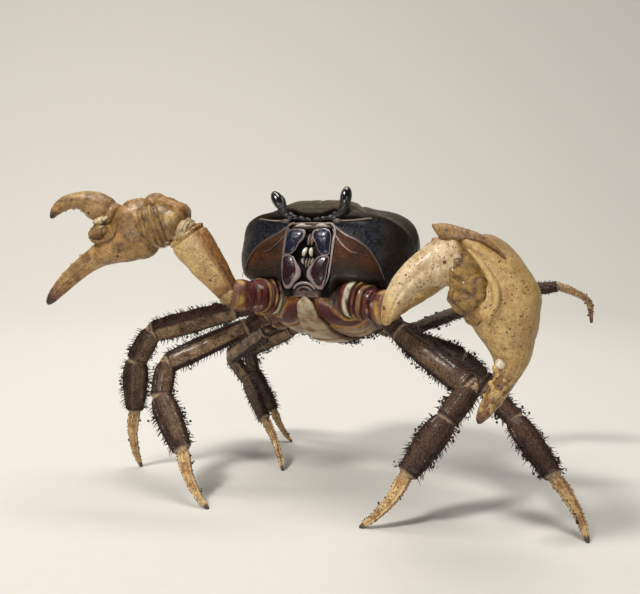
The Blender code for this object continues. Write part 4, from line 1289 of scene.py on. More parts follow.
def claw_loft(side, stations, rows, count, neck=()):
    """Smooth rings of a palm or finger through its stations; also the share of its length at each row,
    the angle of each column, and each point's place in the claw's own frame.

    Centres, both axes and both half sizes run through the stations on smooth curves, and a ring is
    a superellipse of power 0.88.
    """
    _, origin, axes = arm_joints(side)
    size = CLAW_SCALE[side]
    table = [(a, b, c, 0, turn, tall, wide) for a, b, c, turn, tall, wide in neck]
    table = np.array(table + [(a, b, 0, tilt, 0, tall, wide) for a, b, tilt, tall, wide in stations])
    tilt, turn = np.radians(table[:, 3, None]), np.radians(table[:, 4, None])
    middle = table[:, :3] @ axes
    tall = axes[1] * np.cos(tilt) - axes[0] * np.sin(tilt)
    wide = axes[2] * np.cos(turn) + axes[0] * np.sin(turn)
    share = eased(rows, 0.2)
    values = flow(lengths(middle, 1), np.hstack((middle, tall, wide, table[:, 5:])), share)
    close = rounded(share / 0.02, 0.01) * rounded((1 - share) / 0.015, 0.01)
    half_tall, half_wide = values[:, 9:].T * size * close
    grid, angle = rings_round(origin + values[:, :3] * size, unit(values[:, 3:6]), unit(values[:, 6:9]),
                              half_tall, half_wide, count, 0.88)
    return grid, share[:, None], angle, (grid - origin) @ axes.T / size


def build_arm(side):
    """Arm base, upper arm and wrist block, with the joint skin between them."""
    joints, _, axes = arm_joints(side)
    out = 1 if side == "left" else -1
    if side == "left":
        joints = joints[:3] + [joints[3] + (1.5, 0, -4.5), joints[4] + 4 * axes[0] + (0, 0, -3.5),
                               joints[5] + 4 * axes[0]]
    headings = unit(np.diff(np.array(joints), axis=0))
    broad = unit(np.cross(headings[2], (0, 0, 1)))

    grid, place, angle = limb_loft(joints[:3], BASE_SIZES, broad, -0.5, 2.2, (3, 2.5), 190, 84, 0.95)
    warp = place + 0.05 * ripple(grid, 6, 83) + 0.05 * np.cos(angle + 0.8)
    seams = bands(warp, (0.20, 0.035, 1), (0.42, 0.03, 1), (0.70, 0.04, 1), (1.16, 0.05, 1))
    lips = bands(warp, (0.33, 0.045, 1), (0.62, 0.05, 1), (1.04, 0.05, 0.8), (1.9, 0.08, 0.6))
    swells = 0.9 * bell(warp - 1.55, 0.22) * (0.5 + 0.5 * np.cos(2 * angle + 0.6))
    grid = raised(grid, 0.55 * lips - 1.1 * seams + swells + 0.16 * ripple(grid, 1.8, 81))
    cloud = 0.5 + 0.5 * ripple(grid, 3.4, 82)
    white = ramp(0.16, 0.10, warp) * ramp(-0.15, -0.02, warp) * ramp(0.05, 0.45, cloud)
    white = white + 0.45 * bell(warp - 1.2, 0.4) * ramp(0.72, 0.9, cloud)
    mauve = np.maximum(bell(warp - 0.53, 0.10), 0.5 * ramp(1.6, 1.9, warp))
    yellow = 0.6 * bell(warp - 0.63, 0.03) * ramp(0.2, 0.5, cloud)
    yellow = yellow + 0.9 * bell(warp - 1.75, 0.16) * ramp(0.3, 0.7, cloud)
    yellow = np.maximum(bell(warp - 0.31, 0.07) * ramp(0.2, 0.6, cloud), yellow)
    pile = Pile().tube(grid, white=white, mauve=mauve, yellow=yellow, dark=0.85 * seams)
    pile.piece(f"cheliped_{side}_hip", base_material(), "claw_base", f"cheliped_{side}_base")

    sizes = np.array(UPPER_ARM_SIZES) * (1, ARM_GIRTH, ARM_GIRTH)
    grid, place, angle = limb_loft(joints[2:4], sizes, broad, -0.02, 1.02, (4, 2.4), 170, 96, 0.80)
    crest_at = 0.3 if side == "left" else -1
    upper = stripe(angle, 0, 0.22)
    crest = stripe(angle, crest_at, 0.13)
    lower = stripe(angle, out * 2.5, 0.2) + stripe(angle, out * -2.3, 0.2)
    knobs = granules(grid, 1.5, 91, 0.75) * (upper + 0.8 * lower)
    height = 0.5 * upper + 0.75 * crest + 0.4 * lower + 0.6 * knobs
    height = height + bands(place, (0.955, 0.018, 0.55), (0.915, 0.014, -0.5))
    grid = raised(grid, height + 0.12 * ripple(grid, 2.4, 92) + 0.3 * ripple(grid, 7, 93))
    blotch = ripple(grid, 5, 94)
    below = out * turned(angle, crest_at)
    band = ramp(0.35, -0.05, below) * ramp(-1.5, -1, below)
    brown = clamp(band * (1 + 0.35 * blotch) + 0.5 * crest + 0.45 * ramp(0.25, 0.75, blotch))
    brown = clamp(1.3 * brown + 0.9 * ramp(0.30, 0.06, place) + 0.55 * bell(place - 0.99, 0.03))
    orange = clamp(band * (0.9 + 0.4 * blotch) + 0.7 * ramp(0.3, 0.05, place))
    # Painted shade at both joints and, near the body, along the band beside the crest; the blotches on the
    # crest are real stains.
    stain = 0.45 * bell(place - 0.985, 0.02) + 0.5 * crest * ramp(0.1, 0.6, blotch)
    stain = stain + 0.55 * band * ramp(0.75, 0, place) + 0.5 * ramp(0.16, 0, place)
    golden = 0.35 * band + 0.6 * ramp(0.3, 0, place) if side == "right" else 0
    pile = Pile().tube(grid, brown=brown, stain=stain, orange=orange, golden=golden)
    pile.piece(f"cheliped_{side}_upper_arm", claw_material(), "claw", f"cheliped_{side}_merus")

    stop = WRIST_STOP[side]
    route = np.array(joints[3:]) + WRIST_LIFT[side]
    grid, place, angle = limb_loft(route, WRIST_SIZES[side], broad, -0.10, stop, (5, 4), 150, 100, 0.58)
    reach = place / stop
    upper = stripe(angle, 0, 0.42)
    front = stripe(angle, out * math.pi / 2, 0.16)
    edge = stripe(angle, out * 0.9, 0.14)
    knobs = granules(grid, 1.3, 96, 0.8) * clamp(upper + 0.5 * front)
    height = 0.45 * upper + 0.9 * edge + 0.55 * front * ramp(0.1, 0.4, reach) + 0.6 * knobs
    height = height + 0.3 * bell(reach - 0.93, 0.03) - 0.5 * stripe(angle, out * 1.25, 0.15)
    grid = raised(grid, height + 0.2 * ripple(grid, 5, 97))
    brown = clamp(0.5 + 0.5 * stripe(angle, 0, 0.9) + 0.5 * ripple(grid, 5, 98))
    # Painted shade at both ends of the wrist, where its joints are.
    stain = bands(reach, (0.97, 0.03, 0.5), (0.02, 0.05, 0.5))
    orange = clamp(0.8 * stripe(angle, 0, 0.8) + edge * ramp(0.8, 0.3, reach))
    golden = (0.2 if side == "left" else 0.95) * clouds(grid, 4, 99, -0.5, 0.35)
    pile = Pile().tube(grid, brown=brown, stain=stain, orange=orange, golden=golden)
    pile.piece(f"cheliped_{side}_wrist", claw_material(), "claw", f"cheliped_{side}_carpus")

    drop, tall = WRIST_SKIN[side]
    pile = Pile()
    for point, direction, radii, white in (
            (joints[2], headings[2], (4.6, 6.2, 5.4), 0.2),
            (joints[3], headings[3], (6, 8.6 * ARM_GIRTH, 7.4 * ARM_GIRTH), 0.7),
            (joints[-1] - (0, 0, drop), headings[-1], (6, tall * ARM_GIRTH, 7 * ARM_GIRTH), 0.2)):
        grid = ball(point, joint_axes(direction, broad), radii, 0.35, 1.9, 101, 0.22, 22)
        # dark: painted shade in the sunken parts of the folds, from the same ripple that raises them.
        pile.tube(grid, white=white, dark=np.clip(-0.9 * ripple(grid, 1.9, 101), 0, 0.8))
    pile.piece(f"cheliped_{side}_joint_skin", skin_material(), "claw")


def finger_teeth(pile, side, stations, teeth, edge):
    """Blunt teeth along the biting edge of a finger; edge is -1 below the finger, 1 above the fixed one."""
    along, up, across = arm_joints(side)[2]
    for place, radius in zip(*teeth):
        a, b, tilt, half, _ = flow(np.array(stations)[:, 0], stations, (place,))[0]
        tilt = math.radians(tilt)
        tall = up * math.cos(tilt) - along * math.sin(tilt)
        centre = claw_point(side, a, b, 0) + tall * edge * (half * CLAW_SCALE[side] - 0.2 * radius)
        axes = (tall, unit(np.cross(tall, across)), across)
        radii = (radius * 1.05, radius, radius * 0.9)
        pile.tube(ball(centre, axes, radii, 0.08, 1.2, 111, rows=16, count=20))


def build_palm(side):
    """Palm with its fixed finger: granular above, smooth below, with teeth on the biting edge."""
    grid, _, angle, where = claw_loft(side, PALM[side], 230, 120, CLAW_NECK[side])
    a, b, c = np.moveaxis(where, -1, 0)
    reach = a / PALM[side][-1][0]
    upper = stripe(angle, 0, 0.7) * ramp(0.30, 0.16, reach)
    keel = stripe(angle, math.pi, 0.28) * ramp(0.25, 0.45, reach)
    finger = ramp(0.45, 0.62, reach)
    groove = stripe(angle, math.pi * 1.5 - 0.35, 0.10) + stripe(angle, math.pi * 1.5 + 0.35, 0.10)
    knobs = granules(grid, 1.25, 121, 0.85) * clamp(upper + 0.35 * keel)
    grains = granules(grid, 1.6, 122, 0.3) + 0.30 / 0.22 * ripple(grid, 8, 123)
    height = 0.30 * keel + 0.85 * knobs + 0.22 * grains * (1 - finger) - 0.22 * groove * finger
    height = height + 0.10 * ripple(grid, 2.2, 124)
    if side == "left":
        height = height - 1.6 * ramp(9, 3, np.hypot((a - 26) / 1.25, b - 7)) * ramp(-2, -6, c)
    grid = raised(grid, height)
    cloud = ripple(grid, 6, 128)
    warm = 0.35 * bell(a - 4, 7) * bell(b - 10, 9)
    if side == "right":
        warm = bell(b + 2.5, 9) * bell(a - 10, 12)
    brown = clamp(np.maximum(0.95 * upper, warm) + 0.45 * clamp(ripple(grid, 7, 125)))
    brown = np.maximum(brown, 1.1 * ramp(0.50, 0.75, reach) * clouds(grid, 1.7, 126, -0.3, 0.25))
    orange = 0.8 * warm + 0.8 * upper + 0.5 * ramp(0.1, 0.6, -cloud) * ramp(0.1, 0.5, reach)
    # Painted shade in patches along the underside.
    stain = 0.8 * stripe(angle, math.pi, 0.34) * clouds(grid, 3, 127, -0.2, 0.6)
    if side == "right":
        brown = np.maximum(brown, 0.95 * ramp(-0.15, 0.45, cloud))
        # Painted shade in a ring round the moving finger's base and across the wrist end.
        stain = stain + 0.9 * bell(np.hypot(a - 13, b - 10.5) - 5, 1.6) * clouds(grid, 3.4, 129, -0.6, 0.5)
        stain = stain + 0.7 * bell(a - 3.5, 1.6) * clouds(grid, 4, 130, -0.4, 0.5)
        masks = dict(golden=clouds(grid, 5, 119, -0.35, 0.30) * ramp(0.95, 0.55, reach),
                     tip=ramp(0.78, 1, reach), orange=clamp(orange), speckled=0.5 * ramp(0.55, 0.85, reach))
    else:
        stain = stain + 0.85 * ramp(0.5, 0.8, reach) * clouds(grid, 1.5, 131, 0.25, 0.6)
        masks = dict(tip=ramp(0.86, 1.04, reach), orange=clamp(0.4 * orange),
                     speckled=0.9 * ramp(0.55, 0.85, reach))
    pile = Pile().tube(grid, brown=clamp(brown), stain=stain, **masks)
    finger_teeth(pile, side, PALM[side], PALM_TEETH[side], 1)
    pile.piece(f"cheliped_{side}_hand", claw_material(), "claw", f"cheliped_{side}_palm")


def build_finger(side):
    """Moving finger: smooth, keeled above, with teeth below and a dark worn point."""
    grid, share, angle, _ = claw_loft(side, FINGER[side], 170, 90)
    keel = stripe(angle, 0, 0.3) * ramp(0.1, 0.4, share)
    groove = stripe(angle, math.pi * 1.5, 0.12) * ramp(0.25, 0.5, share) * ramp(0.95, 0.8, share)
    knobs = granules(grid, 1.4, 131, 0.7) * stripe(angle, 0, 0.8) * ramp(0.6, 0.1, share)
    height = 0.25 * keel - 0.25 * groove + 0.45 * knobs
    height = height + 0.10 * ripple(grid, 2.5, 132) + 0.15 * ripple(grid, 6, 133)
    grid = raised(grid, height + bands(share, (0.10, 0.03, 0.35), (0.16, 0.025, -0.45)))
    cloud = ripple(grid, 5, 135)
    brown = 0.75 * ramp(0.35, 0, share) + 0.6 * clouds(grid, 6, 134, -0.3, 0.8)
    tip = ramp(0.80, 1, share)
    # Painted shade across the finger's base at its hinge.
    stain = 0.8 * ramp(0.14, 0.03, share)
    spots = 0.5 * clouds(grid, 2.6, 136, 0.3, 0.8) * stripe(angle, math.pi, 0.8)
    if side == "right":
        masks = dict(brown=clamp(brown + 0.6 * ramp(-0.5, 0.3, -cloud)), tip=tip, stain=stain + spots,
                     orange=0.8 * ramp(0.4, 0, share) + 0.6 * ramp(0, 0.6, cloud),
                     golden=0.8 * clouds(grid, 4, 137, -0.30, 0.40))
    else:
        masks = dict(brown=clamp(0.45 * brown), tip=0.12 * tip, stain=0.4 * stain + spots,
                     pale=0.9 * ramp(0.02, 0.2, share) * ramp(0.95, 0.6, share))
    pile = Pile().tube(grid, **masks)
    finger_teeth(pile, side, FINGER[side], FINGER_TEETH[side], -1)
    pile.piece(f"cheliped_{side}_finger", claw_material(), "claw", f"cheliped_{side}_dactyl")


def hinge_skin(side, fold_size, seed, crease_size, crease_seed):
    """Folded joint skin between a palm and its moving finger."""
    axes = arm_joints(side)[2]
    pile = Pile()
    for centre, radii, folds, ribs, count, white in HINGE_LOBES[side]:
        grid = ball(claw_point(side, *centre), axes, radii, folds, fold_size, seed, ribs, count)
        # dark: painted shade in the creases and between the ribs.
        dark = creases(grid, crease_size, crease_seed, count if ribs > 0.3 else 0)
        pile.tube(grid, white=white, dark=dark)
    pile.piece(f"cheliped_{side}_hinge_skin", skin_material(), "claw")


def claw_rim(pile, side, a, b, c, radii, count, squash=1, **masks):
    """A raised rim along a line in the claw's own frame."""
    out = -arm_joints(side)[2][2]
    pile.tube(cord_rings(claw_point(side, a, b, c), radii, count, squash, out), **masks)


def build_hinges():
    """Folded skin, rims and lobes between the palms and their moving fingers, and the left wrist's plate."""
    hinge_skin("right", 2, 141, 4, 141)
    pile = Pile()
    claw_rim(pile, "right", (31.6, 29, 24, 18.5, 15), (2.2, -0.8, -2.2, -1, 4), (-4.4, -6.4, -7.8, -8.6, -8),
             (0.6, 0.9, 1, 1, 0.8), 14, brown=0.75, stain=0.35, golden=0.6)
    claw_rim(pile, "right", (6.4, 4.6, 2.6, 1.4), (8.6, 4, -2, -7), (-6.6, -8.6, -9.2, -8.4),
             (0.9, 1.7, 1.4, 0.7), 18, 0.8, brown=0.5)
    lump = ball(claw_point("right", -4.6, 8.6, -0.6), arm_joints("right")[2], (6.4, 5, 6.4), 0.3, 2.6, 145)
    lump = raised(lump, 0.5 * granules(lump, 1.3, 146, 0.8))
    pile.tube(lump, brown=clamp(0.8 + 0.3 * ripple(lump, 4, 147)), orange=0.6, golden=0.7)
    pile.piece("cheliped_right_rims", claw_material(), "claw")

    hinge_skin("left", 2.6, 151, 4.2, 153)
    pile = Pile()
    claw_rim(pile, "left", (12.6, 14.4, 17.6, 21.6, 26.6, 32, 36), (15, 9.6, 3.2, -2.6, -5.6, -6.6, -8.6),
             (-8.4, -9.9, -11.6, -12.6, -12.6, -11.6, -9.6), (0.9, 1.3, 1.5, 1.6, 1.5, 1.2, 0.5), 22, 0.9)
    pile.piece("cheliped_left_rims", claw_material(), "claw")
    tooth = ball(claw_point("left", 45.2, -21.8, -3.8), arm_joints("left")[2], (2.1, 2.2, 2), 0.1, 1.5, 155)
    Pile().tube(tooth).piece("cheliped_left_tooth", tooth_material(), "claw")
    build_wrist_plate()


def build_wrist_plate():
    """Granular crest over the left wrist: an oval carried from its blunt, raked outer end to a point."""
    across = arm_joints("left")[2][2]
    marks = np.array(WRIST_PLATE)
    share = np.linspace(0, 1, 130)
    values = flow(lengths(marks[:, :2], 1), marks, share)
    close = rounded(share / 0.03, 0.0396) * np.sqrt(np.clip((1 - share) / 0.04, 0.01, 1))
    middle = claw_point("left", *values[:, :3].T)
    forward = unit(np.gradient(middle, axis=0))
    wide = unit(across - forward * (forward @ across)[:, None])
    tall = np.cross(wide, forward) + 0.75 * ramp(0.22, 0, share)[:, None] * forward
    grid, angle = rings_round(middle, tall, wide, values[:, 3] * close, values[:, 4] * close, 72, 0.65)
    grid = raised(grid, 0.5 * granules(grid, 1, 171, 0.85) + 0.1 * ripple(grid, 5, 172))
    # under marks the plate's underside; its darkening through stain and golden is painted shade.
    under = stripe(angle, 5.4, 1)
    brown = clamp(0.75 + 0.4 * ripple(grid, 4, 173))
    stain = 0.9 * bell(share[:, None], 0.03) + 0.3 * ripple(grid, 3, 174) + 0.35 * under
    pile = Pile().tube(grid, brown=brown, stain=stain, orange=0.3, golden=0.25 + 0.6 * under)
    pile.piece("cheliped_left_wrist_plate", claw_material(), "claw")


# ---------------------------------------------------------------- walking legs

LEG_HIPS = {2: (29.9, -11, -30), 3: (30.2, 0, -30.3), 4: (29.6, 11, -30), 5: (23.5, 21, -28)}
LEG_LENGTHS = {2: (15, 49, 19, 30), 3: (15, 50, 20, 32), 4: (13, 49, 19, 30), 5: (12, 42, 18, 28)}
LEG_GIRTH = {2: 1, 3: 1, 4: 0.88, 5: 0.8}
RAISED_TOE = 34
# yaw and pitch of hip, thigh, knee, shin and toe
LEG_POSE = {
    ("right", 2): ((20, -12), (22, -15), (10, -59), (-45, -73), (-80, -79)),
    ("right", 3): ((32, -30), (33, -24), (110, -52), (152, -46), (154, -46)),
    ("right", 4): ((0, -35), (-32, -26), (170, -46), (145, -42), (140, -44)),
    ("right", 5): ((-40, -35), (-19, -22), (-80, -60), (-150, -64), (-165, -60)),
    ("left", 2): ((10, -40), (18, -30), (135, -47), (140, -51), (150, -48)),
    ("left", 3): ((-5, -45), (0, -29), (20, -38), (35, -41), (45, -44)),
    ("left", 4): ((-20, -26), (-56, 13), (-40, 20), (-4, 9), (-46, -34)),
    ("left", 5): ((-45, -35), (-38, -20), (-42, -44), (-44, -52), (-44, -60)),
}
# place along the piece, half height, half width
THIGH_SIZES = ((-0.3, 4.4, 4.2), (0, 4.7, 4.3), (0.5, 5.2, 4.4), (1, 4.7, 3.9), (1.14, 5.2, 3.4),
               (1.5, 6.1, 3.4), (1.9, 5.8, 3.5), (2, 5.2, 3.3))
KNEE_SIZES = ((0, 4.3, 2.9), (0.14, 5.1, 3.4), (0.6, 5.7, 3.4), (1, 5.2, 3.1))
SHIN_SIZES = ((0, 4.9, 3), (0.12, 6, 3.3), (0.5, 6.2, 3.2), (0.86, 5, 3), (1, 4, 2.7))
TOE_SIZES = ((0, 3, 2.3), (0.4, 3.3, 2.4), (1, 2.7, 2), (2, 1.9, 1.5), (2.8, 1.15, 1), (3, 0.9, 0.8))


def pairs(*rows):
    """Each row of bristles on both sides of a leg's upper edge."""
    return tuple((sign * angle, *rest) for angle, *rest in rows for sign in (1, -1))


# bristle rows on each piece: angle from the upper edge, start and stop place, length, lean towards the toe
BRISTLE_ROWS = {
    "thigh": pairs((0.20, 1.10, 1.98, 0.90, 0.5), (2.86, 1.10, 1.96, 1.00, 0.4), (2.5, 1.3, 1.96, 0.55, 0.6))
    + ((3.05, 0.35, 0.95, 0.8, 0.3),),
    "knee": pairs((0.22, 0.05, 0.97, 0.95, 0.5), (0.85, 0.1, 0.95, 0.5, 0.6), (2.8, 0.3, 0.95, 0.9, 0.5)),
    "shin": pairs((0.20, 0.03, 0.98, 1, 0.5), (0.75, 0.06, 0.95, 0.6, 0.6), (1.5, 0.10, 0.93, 0.4, 0.7),
                  (2.35, 0.08, 0.95, 0.65, 0.6), (2.92, 0.05, 0.98, 1, 0.5)),
    "toe": tuple((math.pi / 6 + k * math.pi / 3, 0.12, 2.55, 0.27, 0.75) for k in range(6)),
}
# where each piece's bristles sit on their map: first row and height of its band
MAP_BANDS = {"thigh": (0.01, 0.30), "knee": (0.34, 0.17), "shin": (0.54, 0.22), "toe": (0.79, 0.19)}
MAP_PATCH = 0.003
# nothing is rooted lower than this
CLEAR_OF_FLOOR = 1.5


def leg_joints(side, number):
    """Joint positions of a walking leg from hip to toe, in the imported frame's millimetres."""
    pose = LEG_POSE[side, number]
    joints = [trunk(mirrored(LEG_HIPS[number], side))]
    for length, (yaw, pitch) in zip(LEG_LENGTHS[number], pose):
        joints.append(joints[-1] + length * heading(side, yaw, pitch))
    last = heading(side, *pose[4])
    reach = RAISED_TOE if (side, number) == ("left", 4) else joints[-1][2] / -last[2]
    joints.append(joints[-1] + last * reach)
    return joints


def toe_path(joints, broad):
    """Points from ankle to toe tip, bowed away from the thigh; a raised toe hooks down at its end."""
    step = joints[5] - joints[4]
    last = unit(step)
    bow = joint_axes(last, broad)[1] * np.linalg.norm(step) * 0.07
    if bow @ (joints[4] - joints[3]) < 0:
        bow = -bow
    ankle = joints[4]
    corners = np.array((ankle, ankle + step * 0.35 + bow, ankle + step * 0.7 + bow * 0.9, joints[5]))
    if joints[5][2] > 1:
        corners[1:] += ((0, 0, 3), (0, 0, 4), (-3, 0, -3))
    return flow(np.arange(4), corners, np.linspace(0, 3, 13))


def plate_masks(grid, place, edge, first, last, width, tan_share, seed):
    """Masks of a leg plate: tan cheeks, dark lines beside the upper edge, pale lips at both joints."""
    cloudy = 0.5 + 0.5 * ripple(grid, 4.5, seed)
    tan = ramp(1.15, 1.42, edge) * ramp(2.66, 2.45, edge) * tan_share * ramp(-0.1, 0.5, cloudy)
    ridge = bands(edge, (0.95, 0.10, 1), (2.72, 0.12, 0.8))
    pale = np.maximum(0.8 * bell(place - first, width), 0.9 * bell(place - last, width))
    seam = 0.9 * bell(place - last + 2.4 * width, 0.7 * width)
    dark = np.maximum(0.75 * ridge * ramp(0.3, 0.7, cloudy), seam)
    return {"tan": clamp(tan), "dark": dark, "pale": pale}


def leg_plates(side, number):
    """One leg's thigh, knee, shin and toe as {name: (grid, place, masks)}, its joints and its broad axis."""
    joints = leg_joints(side, number)
    girth = (1, LEG_GIRTH[number], LEG_GIRTH[number])
    seed = 200 + 10 * number + (5 if side == "left" else 0)
    broad = unit(np.cross(unit(joints[2] - joints[1]), unit(joints[4] - joints[3])))
    # Tan faces fuller on the crab's right legs; weaker on its left legs, partly their darker colour and
    # partly painted shadow of the claw above them.
    pale = 1.25 if side == "right" else 0.5

    def plate(path, sizes, *shape):
        """One loft along this leg, and how far each column is from the upper edge, as an angle."""
        grid, place, angle = limb_loft(path, np.array(sizes) * girth, broad, *shape)
        return grid, place, angle, np.abs(turned(angle, math.pi))
    grid, place, _, edge = plate(joints[:3], THIGH_SIZES, -0.16, 2.035, (3, 3.4), 150, 76, 0.94)
    on_thigh = ramp(1.02, 1.12, place)
    seams = bands(place, (0.42, 0.03, 1), (1, 0.018, 1))
    height = bands(edge, (0, 0.16, 0.45), (0.95, 0.12, 0.35), (math.pi, 0.18, 0.4)) * on_thigh
    height = height - 0.75 * seams + 0.4 * bell(place - 1.93, 0.02)
    ridged = bands(edge, (0.95, 0.16, 1), (0, 0.3, 1), (2.72, 0.15, 1))
    knobs = granules(grid, 1.1, seed, 0.8) * clamp(ridged + 0.25)
    grid = raised(grid, height + 0.5 * knobs + 0.22 * ripple(grid, 5, seed + 1))
    masks = plate_masks(grid, place, edge, 1.06, 1.985, 0.014, 0.95 * pale, seed + 2)
    masks["dark"] = masks["dark"] + 0.8 * seams
    masks["tan"] = masks["tan"] * on_thigh + 0.8 * (1 - on_thigh) * clouds(grid, 4, seed + 9, -0.1, 0.5)
    plates = {"thigh": (grid, place, masks)}

    grid, place, _, edge = plate(joints[2:4], KNEE_SIZES, -0.10, 1.05, (3.2, 3.2), 84, 72, 0.94)
    ridges = bands(edge, (0.22, 0.10, 1), (0.85, 0.10, 1), (1.6, 0.12, 0.8))
    height = 0.35 * ridges + 0.35 * granules(grid, 1.15, seed + 3, 0.7) * (0.3 + ridges)
    grid = raised(grid, height + 0.35 * bell(place - 0.93, 0.03) + 0.12 * ripple(grid, 3, seed))
    plates["knee"] = grid, place, plate_masks(grid, place, edge, -0.03, 0.98, 0.035, 0.45 * pale, seed + 4)

    grid, place, _, edge = plate(joints[3:5], SHIN_SIZES, -0.07, 1.04, (3.4, 3), 110, 76, 0.94)
    ridges = bands(edge, *((middle, 0.10, 1) for middle in (0.20, 0.75, 1.5, 2.35, 2.92)))
    height = 0.42 * ridges + 0.4 * granules(grid, 1.15, seed + 5, 0.7) * (0.2 + ridges)
    grid = raised(grid, height + 0.35 * bell(place - 0.95, 0.02) + 0.12 * ripple(grid, 3, seed))
    plates["shin"] = grid, place, plate_masks(grid, place, edge, -0.02, 0.985, 0.022, 0.4 * pale, seed + 6)

    sizes = np.array(TOE_SIZES) * (4, 1, 1)
    grid, place, angle, _ = plate(toe_path(joints, broad), sizes, -0.3, 12, (2.4, 1.2), 130, 66, 0.95)
    place = place / 4
    spread = ramp(0, 0.25, place) * ramp(2.95, 2.5, place)
    rib = -np.cos(6 * angle)
    grid = raised(grid, (0.26 * rib - 0.10) * spread + 0.06 * ripple(grid, 1.5, seed))
    grid[..., 2] = np.maximum(grid[..., 2], 0)
    furrow = ramp(0.1, -0.7, rib) * spread * (0.75 + 0.25 * ripple(grid, 3, seed + 7))
    plum = 0.9 * ramp(0.30, 0.02, place) * (0.75 + 0.25 * ripple(grid, 2.5, seed + 8))
    plates["toe"] = grid, place, {"furrow": furrow, "plum": plum, "tip": ramp(2.35, 2.95, place)}
    return plates, joints, broad


def build_leg(side, number):
    """One walking leg's plates and the skin at its three outer joints."""
    plates, joints, broad = leg_plates(side, number)
    names = {"thigh": "merus", "knee": "carpus", "shin": "propodus", "toe": "dactyl"}
    for part, (grid, _, masks) in plates.items():
        material, slot = (toe_material(), "dactyl") if part == "toe" else (leg_material(), "leg")
        pile = Pile().tube(grid, **masks)
        pile.piece(f"leg_{side}_{number}_{part}", material, slot, f"leg_{side}_{number}_{names[part]}")
    skin = Pile()
    for k, tall in ((2, 4.3), (3, 4.4), (4, 3)):
        axes = joint_axes(unit(joints[k + 1] - joints[k - 1]), broad)
        radii = np.array((3.2, tall, 2.7)) * LEG_GIRTH[number]
        grid = ball(joints[k], axes, radii, 0.15, 1.4, 161, 0.12, 14, 26, 34)
        # dark: painted shade in the sunken parts of the folds, from the same ripple that raises them.
        skin.tube(grid, white=0.35, dark=np.clip(-0.8 * ripple(grid, 1.4, 161), 0, 0.6))
    skin.piece(f"leg_{side}_{number}_joint_skin", skin_material(), "leg")


def sampled(values, rows, columns):
    """Values of a wrapped grid at fractional rows and columns, blended between neighbours."""
    count = values.shape[1]
    r = np.clip(np.floor(rows).astype(int), 0, len(values) - 2)
    c = np.floor(columns).astype(int)
    fr, fc = (rows - r)[:, None], (columns - c)[:, None]
    low = values[r, c % count] * (1 - fc) + values[r, (c + 1) % count] * fc
    high = values[r + 1, c % count] * (1 - fc) + values[r + 1, (c + 1) % count] * fc
    return low * (1 - fr) + high * fr


def plant(pile, roots, normals, alongs, tall, lean, width, where, rng):
    """Curved bristles, each three square rings and a point; they lean and bend towards the limb's tip.

    The centre line is root + direction t L + along bend t^2 L, and the radius falls 1, 0.78, 0.4, 0.
    """
    n = len(roots)
    jitter = rng.normal(0, 0.13, (n, 3))
    direction = unit(normals * (1 - 0.35 * lean) + alongs * (0.55 * lean) + jitter)
    side = unit(np.cross(direction, alongs))
    up = np.cross(side, direction)
    bend = alongs * (tall * rng.uniform(0.12, 0.34, n))[:, None]
    stops = np.array((0, 0.42, 0.78, 1))
    centre = (roots - normals * 0.25)[:, None] + direction[:, None] * (tall[:, None] * stops)[..., None]
    centre = centre + bend[:, None] * (stops ** 2)[None, :, None]
    radius = (width / 2)[:, None] * np.array((1, 0.78, 0.40))
    turn = np.arange(4) * math.tau / 4
    ring = np.cos(turn)[:, None] * side[:, None, None] + np.sin(turn)[:, None] * up[:, None, None]
    rings = centre[:, :3, None] + ring * radius[:, :, None, None]
    points = np.concatenate((rings.reshape(n, 12, 3), centre[:, 3:]), axis=1)
    quads = np.concatenate((ring_quads(3, 4), ((3, 2, 1, 0),)))
    tips = np.array(((8, 9, 12), (9, 10, 12), (10, 11, 12), (11, 8, 12)))
    base = (np.arange(n) * 13)[:, None, None]
    t = np.append(np.repeat(stops[:3], 4), 1)
    u = np.append(np.tile(np.arange(4) / 4, 3), 0.5)
    maps = where[:, None] + MAP_PATCH * np.stack((u, t), axis=-1)
    pile.add(points.reshape(-1, 3), (quads + base).reshape(-1, 4), (tips + base).reshape(-1, 3),
             {"tip": np.tile(t, n)}, maps.reshape(-1, 2))


def plant_rows(pile, plate, rows, band, size, rng):
    """Rows of bristle tufts on one plate, rooted on its own surface."""
    grid, place, _ = plate
    count = grid.shape[1]
    normal = surface_normals(grid)
    along = unit(np.gradient(grid, axis=0))
    run = lengths(grid.mean(axis=1))
    for angle, start, stop, share, lean in rows:
        first, last = np.interp((start, stop), place[:, 0], run)
        tufts = max(int((last - first) / (size.bristle_spacing / MM)), 2)
        at = first + (last - first) * (np.arange(tufts) + rng.uniform(-0.45, 0.45, tufts)) / tufts
        row = np.clip(np.interp(at, run, np.arange(len(run))), 0, len(run) - 1.001)
        column = ((math.pi + angle + rng.normal(0, 0.07, tufts)) % math.tau) / math.tau * count
        roots, normals = sampled(grid, row, column), unit(sampled(normal, row, column))
        tall = size.bristle_length / MM * share * rng.uniform(0.55, 1, tufts)
        width = size.bristle_width / MM * rng.uniform(0.7, 1.1, tufts) * (1 if share > 0.3 else 1.35)
        where = np.stack((0.01 + 0.97 * column / count, band[0] + band[1] * row / len(run)), axis=-1)
        keep = roots[:, 2] > CLEAR_OF_FLOOR
        plant(pile, roots[keep], normals[keep], unit(sampled(along, row, column))[keep], tall[keep], lean,
              width[keep], where[keep], rng)


